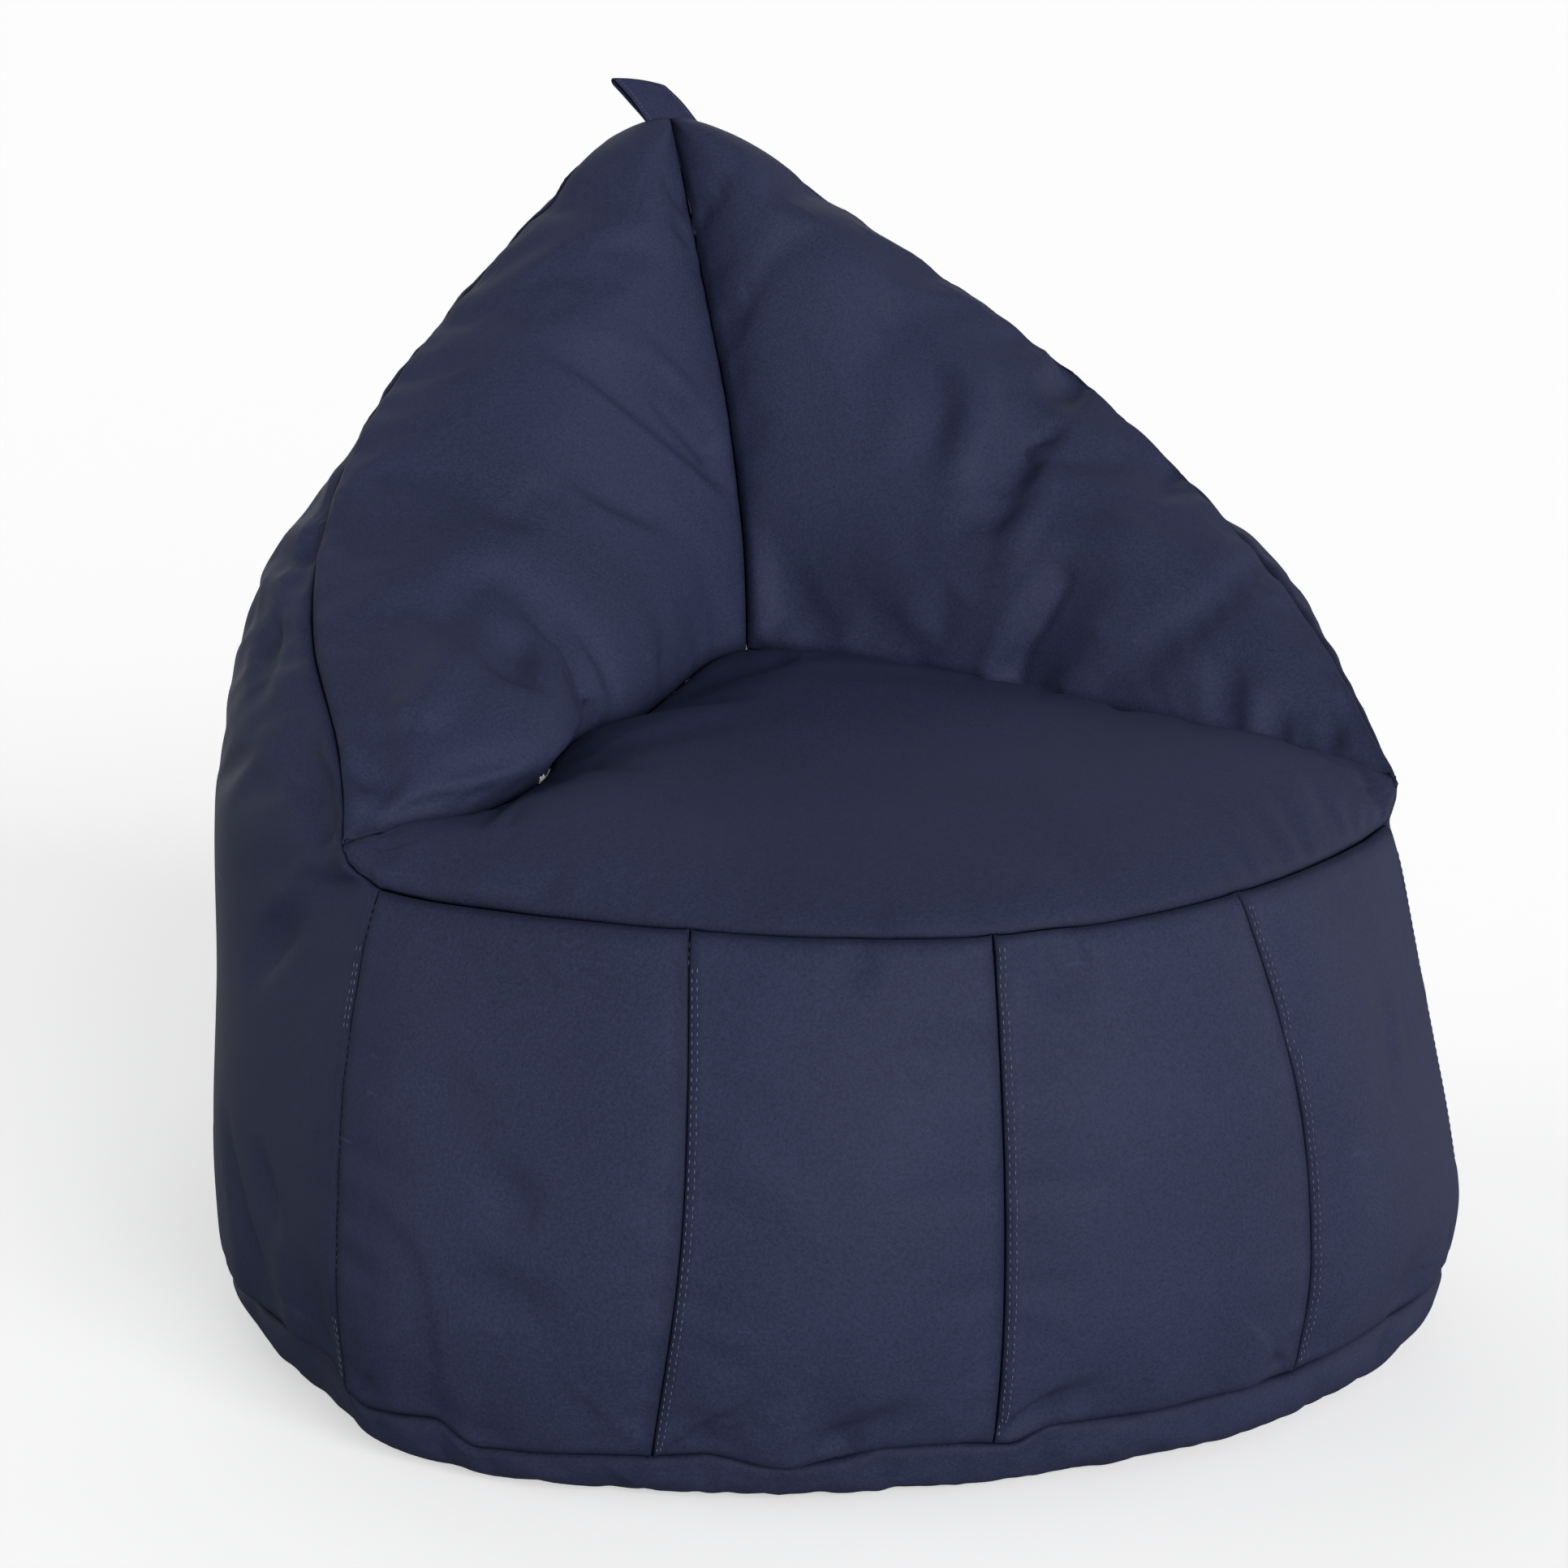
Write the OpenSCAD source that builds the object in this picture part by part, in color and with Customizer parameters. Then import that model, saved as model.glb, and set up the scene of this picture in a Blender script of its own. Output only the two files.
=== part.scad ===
// Bean bag chair: a drum-shaped seat with a folded, pointed backrest.
// The loose cover is sewn from ten panels round a zipped liner of beads.
// +Z is up, the sitter faces -Y, and the origin is on the floor under the middle.

/* [Overall size] */
// Width of the chair across the arms
chair_width = 880; // [800:10:960]
// Depth of the chair from the front wall to the rear zip
chair_depth = 870; // [800:10:940]
// Height of the sewn peak of the backrest, without the carry handle
peak_height = 838; // [780:2:900]

/* [Cover] */
// Thickness of the cover cloth with its seam allowance
cover_t = 2; // [1.2:0.1:2.4]
// How far the seat panel crowns above its seams
seat_crown = 34; // [10:1:45]
// How far each inner back panel puffs out from its seams
back_puff = 52; // [20:1:60]
// How far each front wall panel puffs out between its seams
wall_puff = 9; // [0:1:16]

/* [Liner and filling] */
// Depth of the liner's outside below the outside of the cover
liner_depth = 12; // [11:0.5:14]
// Thickness of the liner cloth
liner_t = 1.2; // [0.8:0.1:1.4]
// Depth of the bead filling below the outside of the cover
fill_depth = 20; // [19:0.5:21]

/* [Zips] */
// Width of the opening that each zip's coil fills
zip_gap = 6.8; // [6.4:0.1:8]
// Width of the tape on one side of a zip
zip_tape_w = 13; // [10:0.5:16]
// Thickness of a zip tape
zip_tape_t = 0.7; // [0.5:0.1:0.8]
// Travel of the liner zip's slider
liner_zip_travel = 180; // [100:5:200]

/* [Carry handle] */
// Width of the strap
strap_w = 42; // [30:1:46]
// Thickness of the folded strap
strap_t = 2.4; // [1.6:0.2:3]
// Length of the loop from its stitched root
loop_h = 44; // [40:1:70]
// Gap inside the loop at its widest
loop_gap = 10; // [8:0.5:14]
// Angle that the loop leans back at rest
loop_lean = 45; // [0:1:50]
// Angle that the loop slants to the chair's left at rest
loop_slant = 27; // [0:1:30]

/* [Hidden] */

canvas_navy = "#343B59";
canvas_shade = "#2C3350";
strap_navy = "#2F3653";
zip_navy = "#262C45";
slider_metal = "#6E7178";
liner_white = "#E9E8E2";
bead_white = "#F7F7F4";

// The key points are for a chair of the design size, and scale with it.
design_size = [880, 870, 838];
size_ratio = [chair_width / design_size.x, chair_depth / design_size.y, peak_height / design_size.z];
// Moves the chair forward, so that the origin is midway between its front and its rear.
centring_shift = -18;
base_seam_z = 28;

// ---- Key points ----
// A key is [place, inward]: inward says how the place moves for each millimetre of
// depth below the outside, so one net of keys gives the cover, the liner and the beads.
// All keys are on the left of the chair, where X is below zero; the right is its mirror.
front_low = [[0, -400, base_seam_z], [0, 0.85, 0.5]];
front_top = [[0, -384, 370], [0, 0.8, -0.7]];
seam_two_low = [[-222, -360, base_seam_z], [0.5, 0.72, 0.5]];
seam_two_top = [[-186, -326, 372], [0.4, 0.7, -0.7]];
seam_one_low = [[-404, -198, base_seam_z], [0.85, 0.4, 0.5]];
seam_one_top = [[-358, -178, 372], [0.75, 0.5, -0.6]];
arm_tip = [[-378, -146, 398], [0.8, 0.5, -0.6]];
seat_corner = [[0, 236, 442], [0, 0.5, -0.9]];
peak = [[0, 434, 838], [0, -0.5, -1.5]];

seam_three = [front_low, [[0, -416, 130], [0, 1, 0]], [[0, -408, 255], [0, 1, 0]], front_top];
seam_two = [
    seam_two_low, [[-226, -372, 130], [0.5, 0.87, 0]], [[-214, -364, 255], [0.5, 0.87, 0]],
    seam_two_top
];
seam_one = [
    seam_one_low, [[-414, -198, 130], [0.9, 0.43, 0]], [[-398, -190, 255], [0.9, 0.43, 0]],
    seam_one_top
];
// The seam between the seat and the left inner back panel, from the arm tip inwards.
back_seam = [
    arm_tip, [[-322, -88, 408], [0.3, 0.4, -0.9]], [[-232, 18, 420], [0.1, 0.5, -0.9]],
    [[-120, 148, 433], [0, 0.5, -0.9]], seat_corner
];
// The centre seam of the backrest, from the seat up to the peak.
crease = [
    seat_corner, [[0, 244, 508], [0, 1, -0.2]], [[0, 268, 568], [0, 0.9, -0.4]],
    [[0, 318, 668], [0, 0.8, -0.5]], [[0, 380, 774], [0, 0.7, -0.6]], peak
];
// The rim seam, along the crest of the left arm and up to the blunt peak.
rim = [
    arm_tip, [[-376, 0, 480], [0.2, 0.2, -0.95]], [[-344, 150, 560], [0.3, 0.2, -0.9]],
    [[-282, 262, 640], [0.5, 0.1, -0.8]], [[-190, 352, 720], [0.4, -0.1, -0.9]],
    [[-86, 412, 800], [0.2, -0.3, -1.1]], [[-24, 432, 834], [0.1, -0.5, -1.4]], peak
];
// Two lines down the left outer back panel, between its front edge and its rear edge.
side_guide = [
    [[-438, 44, base_seam_z], [0.9, 0, 0.45]], [[-444, 50, 130], [1, 0, 0]],
    [[-434, 58, 255], [1, 0, 0]], [[-420, 98, 400], [1, 0, -0.1]],
    [[-362, 208, 560], [0.8, -0.3, -0.4]], [[-190, 376, 720], [0.4, -0.6, -0.6]], peak
];
rear_guide = [
    [[-310, 318, base_seam_z], [0.6, -0.6, 0.45]], [[-318, 324, 130], [0.7, -0.7, 0]],
    [[-316, 328, 255], [0.7, -0.7, 0]], [[-298, 350, 400], [0.6, -0.75, -0.1]],
    [[-230, 392, 560], [0.4, -0.9, -0.2]], [[-120, 428, 720], [0.2, -0.9, -0.5]], peak
];
// The centre seam of the outer back, upright where the zip runs.
rear_line = [
    [[0, 436, base_seam_z], [0, -0.85, 0.5]], [[0, 454, 90], [0, -1, 0]], [[0, 455, 140], [0, -1, 0]],
    [[0, 455, 255], [0, -1, 0]], [[0, 455, 400], [0, -1, 0]], [[0, 455, 570], [0, -1, 0]],
    [[0, 451, 720], [0, -1, -0.2]], peak
];

// ---- Steps of cloth between the keys ----
// Every seam has an even number, so that the liner and the beads can take every second one.
wall_steps = 8;
tip_steps = 2;
seam_steps = [3, 3, 2];
rim_steps = [3, 3, 3, 3, 2, 2, 2];
crease_steps = [3, 3, 4, 4, 4];
back_seam_steps = [4, 5, 5, 4];
guide_steps = [3, 3, 4, 6, 6, 6];
rear_steps = [2, 1, 3, 4, 6, 6, 6];
outer_steps = 4;
seat_rows = 8;
// The rows of the rear seam from which and to which the cover zip opens it.
zip_first_row = 4;
zip_last_row = 15;

// ---- Curves through the keys ----
function sized(p) = [p.x * size_ratio.x, p.y * size_ratio.y + centring_shift, p.z * size_ratio.z];
function at_depth(keys, depth) = [for (key = keys) sized(key[0]) + depth * key[1]];
function mirror_key(key) = [[-key[0].x, key[0].y, key[0].z], [-key[1].x, key[1].y, key[1].z]];
function mirrored(points) = [for (p = points) [p.x == 0 ? 0 : -p.x, p.y, p.z]];
function reversed(list) = [for (i = [len(list) - 1:-1:0]) list[i]];
function slice(list, first, last) = [for (i = [first:last]) list[i]];
function without_first(list) = slice(list, 1, len(list) - 1);
function last_of(list) = list[len(list) - 1];

// A Catmull-Rom span from b to c, with a before it and d after it.
function span_point(a, b, c, d, s) =
    0.5 * (2 * b + (c - a) * s + (2 * a - 5 * b + 4 * c - d) * s * s
        + (3 * b - a - 3 * c + d) * s * s * s);
function neighbour(points, i) =
    i < 0 ? 2 * points[0] - points[1]
    : i >= len(points) ? 2 * last_of(points) - points[len(points) - 2]
    : points[i];
function spline(points, steps) = concat(
    [
        for (i = [0:len(steps) - 1]) for (j = [0:steps[i] - 1])
            span_point(neighbour(points, i - 1), points[i], points[i + 1],
                neighbour(points, i + 2), j / steps[i])
    ],
    [last_of(points)]
);
function curve(keys, steps, depth) = spline(at_depth(keys, depth), steps);

// ---- The cover's seams, at a depth below its outside ----
// The left half of the seam along the front of the seat, from the arm tip to the middle.
front_keys = [arm_tip, seam_one_top, seam_two_top, front_top, mirror_key(seam_two_top)];
front_steps = [tip_steps, wall_steps, wall_steps, wall_steps];
front_count = tip_steps + 2 * wall_steps;
function front_half(depth) = slice(curve(front_keys, front_steps, depth), 0, front_count);
// The left half of the seam under the front walls, from seam one to the middle.
low_keys = [side_guide[0], seam_one_low, seam_two_low, front_low, mirror_key(seam_two_low)];
low_steps = [wall_steps, wall_steps, wall_steps, wall_steps];
function low_half(depth) = slice(curve(low_keys, low_steps, depth), wall_steps, 3 * wall_steps);
function both_sides(half) = concat(half, without_first(reversed(mirrored(half))));
// The front edge of the outer back: up seam one, round the arm tip and along the rim.
function outer_edge(depth) = concat(
    curve(seam_one, seam_steps, depth),
    without_first(reversed(slice(front_half(depth), 0, tip_steps))),
    without_first(curve(rim, rim_steps, depth))
);

// ---- Patches of cloth, each a list of rows of points ----
// Fills the space between four seams, and crowns its middle along a vector.
function coons_point(low, top, left, right, i, j, crown, power) =
    let (last_i = len(low) - 1, last_j = len(left) - 1, u = i / last_i, v = j / last_j)
    j == 0 ? low[i]
    : j == last_j ? top[i]
    : i == 0 ? left[j]
    : i == last_i ? right[j]
    : (1 - v) * (low[i] - (1 - u) * low[0] - u * low[last_i])
        + v * (top[i] - (1 - u) * top[0] - u * top[last_i])
        + (1 - u) * left[j] + u * right[j]
        + crown * pow(sin(180 * u) * sin(180 * v), power);
function coons(low, top, left, right, crown, power) = [
    for (j = [0:len(left) - 1])
        [for (i = [0:len(low) - 1]) coons_point(low, top, left, right, i, j, crown, power)]
];
function repeated(point, count) = [for (i = [1:count]) point];

function seat_patch(depth) =
    let (front = both_sides(front_half(depth)))
    let (back = both_sides(curve(back_seam, back_seam_steps, depth)))
    coons(front, back, repeated(front[0], seat_rows + 1),
        repeated(last_of(front), seat_rows + 1), [0, 0, seat_crown], 0.6);

function inner_back_patch(depth) =
    let (low = curve(back_seam, back_seam_steps, depth))
    let (left = curve(rim, rim_steps, depth))
    coons(low, repeated(last_of(left), len(low)), left, curve(crease, crease_steps, depth),
        back_puff * [0.32, -0.85, 0.42], 0.8);

// Each row runs from the rear seam forward, across both guides, to the front edge.
function outer_back_patch(depth) =
    let (guide = curve(rear_guide, guide_steps, depth))
    let (uprights = [
        mirrored(guide), curve(rear_line, rear_steps, depth), guide,
        curve(side_guide, guide_steps, depth), outer_edge(depth)
    ])
    [
        for (j = [0:len(guide) - 1])
            let (row = spline([for (upright = uprights) upright[j]], repeated(outer_steps, 4)))
            slice(row, outer_steps, 4 * outer_steps)
    ];

// Opens the rear edge of the outer back, so that the zip's coil fits between the panels.
function opened_at_rear(patch) = [
    for (j = [0:len(patch) - 1]) let (row = patch[j])
        j < zip_first_row || j > zip_last_row
            ? row : concat([row[0] - [zip_gap / 2, 0, 0]], without_first(row))
];

function wall_patch(first_step, left_seam, right_seam, depth) =
    let (low = slice(low_half(depth), first_step, first_step + wall_steps))
    let (top = slice(front_half(depth), first_step + tip_steps,
        first_step + tip_steps + wall_steps))
    let (middle = low[wall_steps / 2])
    let (outward = [middle.x, middle.y, 0] / norm([middle.x, middle.y]))
    coons(low, top, curve(left_seam, seam_steps, depth), curve(right_seam, seam_steps, depth),
        wall_puff * outward, 0.7);

// Rows of the base panel: the low seam, the turn under the chair, and the flat floor.
// Each is how far out it lies, as a share of the low seam, and its height.
base_turn = [[0.985, 12], [0.95, 2], [0.9, 0], [0.5, 0]];
function low_ring(depth) =
    let (half = concat(outer_back_patch(depth)[0], without_first(low_half(depth))))
    slice(both_sides(half), 0, 2 * len(half) - 3);
function base_patch(depth) =
    let (ring = low_ring(depth))
    concat([ring], [
        for (turn = base_turn)
            [for (p = ring) [p.x * turn[0], p.y * turn[0], turn[1] + depth]]
    ]);

// ---- Meshes from patches ----
// A mesh is [points, triangles], with each triangle clockwise from outside.
// Where a side of a patch shrinks to a point, its points share one number.
function point_number(i, j, last_i, last_j, pinched) =
    pinched == "top" && j == last_j ? last_j * (last_i + 1)
    : pinched == "ends" && i == 0 ? 0
    : pinched == "ends" && i == last_i ? last_i
    : j * (last_i + 1) + i;
function is_whole(t) = t[0] != t[1] && t[1] != t[2] && t[0] != t[2];
function whole_ones(triangles) = [for (t = triangles) if (is_whole(t)) t];
function turned_over(triangles) = [for (t = triangles) reversed(t)];
function renumbered(triangles, by) = [for (t = triangles) [t[0] + by, t[1] + by, t[2] + by]];
function flat_list(patch) = [for (row = patch) each row];

function sheet_mesh(patch, pinched) =
    let (last_i = len(patch[0]) - 1, last_j = len(patch) - 1)
    [flat_list(patch), whole_ones([
        for (j = [0:last_j - 1]) for (i = [0:last_i - 1])
            let (a = point_number(i, j, last_i, last_j, pinched))
            let (b = point_number(i + 1, j, last_i, last_j, pinched))
            let (c = point_number(i + 1, j + 1, last_i, last_j, pinched))
            let (d = point_number(i, j + 1, last_i, last_j, pinched))
            each [[c, b, a], [d, c, a]]
    ])];
function sheet_border(patch, pinched) =
    let (last_i = len(patch[0]) - 1, last_j = len(patch) - 1)
    [
        for (i = [0:last_i - 1]) point_number(i, 0, last_i, last_j, pinched),
        for (j = [0:last_j - 1]) point_number(last_i, j, last_i, last_j, pinched),
        for (i = [last_i:-1:1]) point_number(i, last_j, last_i, last_j, pinched),
        for (j = [last_j:-1:1]) point_number(0, j, last_i, last_j, pinched)
    ];
// Rings that close down to a middle point, seen from below.
function dish_mesh(patch, middle) =
    let (count = len(patch[0]), rows = len(patch))
    [concat(flat_list(patch), [middle]), [
        for (j = [0:rows - 2]) for (i = [0:count - 1])
            let (a = j * count + i, b = j * count + (i + 1) % count)
            each [[a, b, b + count], [a, b + count, a + count]],
        for (i = [0:count - 1])
            [(rows - 1) * count + i, (rows - 1) * count + (i + 1) % count, rows * count]
    ]];

// The cloth's cut edge: the two panels at a seam split each step on the same diagonal.
function slope_of(p) = 0.7 * abs(p.x) + p.y + 1.6 * p.z;
function edge_triangles(border, points, under) = whole_ones([
    for (i = [0:len(border) - 1])
        let (a = border[i], b = border[(i + 1) % len(border)])
        each slope_of(points[a]) > slope_of(points[b])
            ? [[a, b, b + under], [a, b + under, a + under]]
            : [[a, b, a + under], [b, b + under, a + under]]
]);
// A panel of cloth with an outside and an inside, closed along its cut edge.
module cloth(outside, inside, border) {
    under = len(outside[0]);
    points = concat(outside[0], inside[0]);
    polyhedron(points, concat(
        outside[1], renumbered(turned_over(inside[1]), under),
        edge_triangles(border, points, under)
    ));
}
module sheet_cloth(outside, inside, pinched = "none") {
    cloth(sheet_mesh(outside, pinched), sheet_mesh(inside, pinched), sheet_border(outside, pinched));
}

// ---- Closed bodies inside the cover ----
function every_second(list) = [for (i = [0:2:len(list) - 1]) list[i]];
function coarse(patch) = [for (row = every_second(patch)) every_second(row)];
function left_meshes(depth) = [
    sheet_mesh(coarse(inner_back_patch(depth)), "top"),
    sheet_mesh(coarse(outer_back_patch(depth)), "top"),
    sheet_mesh(coarse(wall_patch(0, seam_one, seam_two, depth)), "none"),
    sheet_mesh(coarse(wall_patch(wall_steps, seam_two, seam_three, depth)), "none")
];
function middle_meshes(depth) = [
    sheet_mesh(coarse(seat_patch(depth)), "ends"),
    dish_mesh([for (row = base_patch(depth)) every_second(row)], [0, 0, depth])
];
function mirrored_mesh(mesh) = [mirrored(mesh[0]), turned_over(mesh[1])];
function joined(meshes, from = 0, points = [], triangles = []) =
    from == len(meshes) ? [points, triangles]
    : joined(meshes, from + 1, concat(points, meshes[from][0]),
        concat(triangles, renumbered(meshes[from][1], len(points))));
module skin(depth) {
    left = left_meshes(depth);
    mesh = joined(concat(left, [for (m = left) mirrored_mesh(m)], middle_meshes(depth)));
    polyhedron(mesh[0], mesh[1]);
}

// ---- Cover panels ----
module seat_panel() {
    color(canvas_navy)
        sheet_cloth(seat_patch(0), seat_patch(cover_t), "ends");
}
module inner_back() {
    color(canvas_shade)
        sheet_cloth(inner_back_patch(0), inner_back_patch(cover_t), "top");
}
module outer_back() {
    color(canvas_navy)
        sheet_cloth(opened_at_rear(outer_back_patch(0)), opened_at_rear(outer_back_patch(cover_t)),
            "top");
}
module front_wall_outer() {
    color(canvas_navy)
        sheet_cloth(wall_patch(0, seam_one, seam_two, 0), wall_patch(0, seam_one, seam_two, cover_t));
}
module front_wall_inner() {
    color(canvas_navy)
        sheet_cloth(wall_patch(wall_steps, seam_two, seam_three, 0),
            wall_patch(wall_steps, seam_two, seam_three, cover_t));
}
module base_panel() {
    outside = base_patch(0);
    border = [for (i = [len(outside[0]) - 1:-1:0]) i];
    color(canvas_shade)
        cloth(dish_mesh(outside, [0, 0, 0]), dish_mesh(base_patch(cover_t), [0, 0, cover_t]), border);
}
module on_right() {
    mirror([1, 0, 0]) children();
}

// ---- Carry handle ----
// A strap folded into a loop, and sewn into the seams at the peak. It lies back and slants
// to one side, as a soft loop does, so every level of it stays as wide as the strap.
handle_root = sized(peak[0]) + [0, 0, 2];
strap_fold_r = loop_gap / 2 + strap_t;
module loop_outline(shrink) {
    hull() {
        translate([0, loop_h - strap_fold_r]) circle(r = strap_fold_r - shrink, $fn = 32);
        translate([0, 0.45 * loop_h]) circle(r = strap_fold_r - shrink, $fn = 32);
        translate([0, strap_t + 0.3]) circle(r = strap_t + 0.3 - shrink, $fn = 32);
    }
}
module carry_handle() {
    color(strap_navy)
        translate(handle_root)
            multmatrix([[1, 0, -tan(loop_slant), 0], [0, 1, 0, 0], [0, 0, 1, 0]])
                rotate([-loop_lean, 0, 0])
                    rotate([90, 0, 90])
                        linear_extrude(strap_w, center = true)
                            difference() {
                                loop_outline(0);
                                loop_outline(strap_t);
                            }
}

// ---- Zips ----
// A zip stands on the rear centre line, in an opening in a cloth. Its own frame has Y outwards
// from the cloth's outside, and Z from the lower end up. tape_depth is how far below the
// outside its tapes are sewn, and fall is how steeply they follow the cloth away from it.
coil_inner_x = 0.7;
coil_outer_x = 2.9;
coil_t = 1.9;
tape_gap = 0.15;
end_stop_h = 3;
slider_h = 14;
slider_half_w = 4.2;
slider_plate_t = 1.1;
slider_clearance = 0.25;
bridge_half_w = 0.4;
lug_t = 1.6;

module zip_tape(tape_depth, length, fall) {
    top = -tape_depth;
    bend_x = zip_gap / 2;
    edge_x = coil_inner_x + zip_tape_w;
    drop = (edge_x - bend_x) * fall;
    linear_extrude(length)
        polygon([
            [-coil_inner_x, top], [-bend_x, top], [-edge_x, top - drop],
            [-edge_x, top - drop - zip_tape_t], [-bend_x, top - zip_tape_t],
            [-coil_inner_x, top - zip_tape_t]
        ]);
}
module zip_coil(tape_depth, length) {
    translate([-coil_outer_x, -tape_depth, end_stop_h])
        cube([coil_outer_x - coil_inner_x, coil_t, length - 2 * end_stop_h]);
}
module zip_stop(tape_depth) {
    translate([-coil_outer_x, -tape_depth, 0])
        cube([2 * coil_outer_x, coil_t, end_stop_h]);
}
// Two plates joined by a bridge that runs between the coils.
module zip_slider(tape_depth, fall) {
    outer_y = max(0, coil_t - tape_depth) + slider_clearance;
    inner_y = -tape_depth - zip_tape_t - slider_clearance - (slider_half_w - zip_gap / 2) * fall;
    translate([-slider_half_w, outer_y, 0])
        cube([2 * slider_half_w, slider_plate_t, slider_h]);
    translate([-slider_half_w, inner_y - slider_plate_t, 0])
        cube([2 * slider_half_w, slider_plate_t, slider_h]);
    translate([-bridge_half_w, inner_y, slider_h / 4])
        cube([2 * bridge_half_w, outer_y - inner_y, slider_h / 2]);
    translate([-bridge_half_w * 3, outer_y + slider_plate_t, slider_h / 4])
        cube([bridge_half_w * 6, lug_t, slider_h / 2]);
}

// The cover's zip fills the opening in the rear seam.
cover_rear = curve(rear_line, rear_steps, 0);
cover_zip_foot = cover_rear[zip_first_row];
cover_zip_length = cover_rear[zip_last_row].z - cover_zip_foot.z;
// How steeply the cloth falls away beside the rear seam, at the steepest row of a patch.
function fall_beside(patch) =
    max([for (j = [zip_first_row:zip_last_row]) (patch[j][0].y - patch[j][1].y) / -patch[j][1].x]);
cover_fall = fall_beside(outer_back_patch(0));
cover_tape_depth = cover_t + tape_gap;
module at_cover_zip() {
    translate(cover_zip_foot) children();
}

// The liner's zip is shorter, and lies behind the cover's.
liner_zip_foot = cover_zip_foot + [0, -liner_depth, 20];
liner_zip_length = liner_zip_travel + slider_h + 2 * end_stop_h + 1;
liner_fall = max([
    for (j = [zip_first_row:zip_last_row]) let (row = outer_back_patch(liner_depth)[j])
        (row[0].y - row[2].y) / -row[2].x
]);
// The liner's cloth has already fallen away at the sides of the opening.
liner_tape_depth = liner_t + 2 * tape_gap + zip_gap / 2 * liner_fall;
module at_liner_zip() {
    translate(liner_zip_foot) children();
}

module cover_zip_tape() {
    color(zip_navy) at_cover_zip() zip_tape(cover_tape_depth, cover_zip_length, cover_fall);
}
module cover_zip_coil() {
    color(zip_navy) at_cover_zip() zip_coil(cover_tape_depth, cover_zip_length);
}
module cover_zip_bottom_stop() {
    color(slider_metal) at_cover_zip() zip_stop(cover_tape_depth);
}
module cover_zip_top_stop() {
    color(slider_metal)
        at_cover_zip() translate([0, 0, cover_zip_length - end_stop_h]) zip_stop(cover_tape_depth);
}
module cover_zip_slider() {
    color(slider_metal)
        at_cover_zip() translate([0, 0, end_stop_h + 0.5]) zip_slider(cover_tape_depth, cover_fall);
}
module liner_zip_tape() {
    color(liner_white) at_liner_zip() zip_tape(liner_tape_depth, liner_zip_length, liner_fall);
}
module liner_zip_coil() {
    color(liner_white) at_liner_zip() zip_coil(liner_tape_depth, liner_zip_length);
}
module liner_zip_bottom_stop() {
    color(slider_metal) at_liner_zip() zip_stop(liner_tape_depth);
}
module liner_zip_top_stop() {
    color(slider_metal)
        at_liner_zip() translate([0, 0, liner_zip_length - end_stop_h]) zip_stop(liner_tape_depth);
}
module liner_zip_slider() {
    color(slider_metal)
        at_liner_zip() translate([0, 0, end_stop_h + 0.5]) zip_slider(liner_tape_depth, liner_fall);
}

// ---- Liner and filling ----
module liner_bag() {
    color(liner_white)
        difference() {
            skin(liner_depth);
            skin(liner_depth + liner_t);
            at_liner_zip()
                translate([-zip_gap / 2, -3 * liner_t, 0])
                    cube([zip_gap, 6 * liner_t, liner_zip_length]);
        }
}
module bead_fill() {
    color(bead_white) skin(fill_depth);
}

seat_panel();
inner_back();  // inner_back_left
on_right() inner_back();  // inner_back_right
outer_back();  // outer_back_left
on_right() outer_back();  // outer_back_right
front_wall_outer();  // front_wall_left_outer
front_wall_inner();  // front_wall_left_inner
on_right() front_wall_inner();  // front_wall_right_inner
on_right() front_wall_outer();  // front_wall_right_outer
base_panel();
carry_handle();
cover_zip_tape();  // cover_zip_tape_left
on_right() cover_zip_tape();  // cover_zip_tape_right
cover_zip_coil();  // cover_zip_coil_left
on_right() cover_zip_coil();  // cover_zip_coil_right
cover_zip_top_stop();
cover_zip_bottom_stop();
cover_zip_slider();
liner_bag();
liner_zip_tape();  // liner_zip_tape_left
on_right() liner_zip_tape();  // liner_zip_tape_right
liner_zip_coil();  // liner_zip_coil_left
on_right() liner_zip_coil();  // liner_zip_coil_right
liner_zip_top_stop();
liner_zip_bottom_stop();
liner_zip_slider();
bead_fill();
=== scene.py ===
# %% [markdown]
# # A bean bag chair
# The chair is a loose canvas cover, sewn from ten panels, round a bag of beads. The frame
# holds where every panel, zip and strap is. This file turns those plain panels into cloth:
# first one skin, so that neighbouring panels share their seams, and then separate panels.

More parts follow.
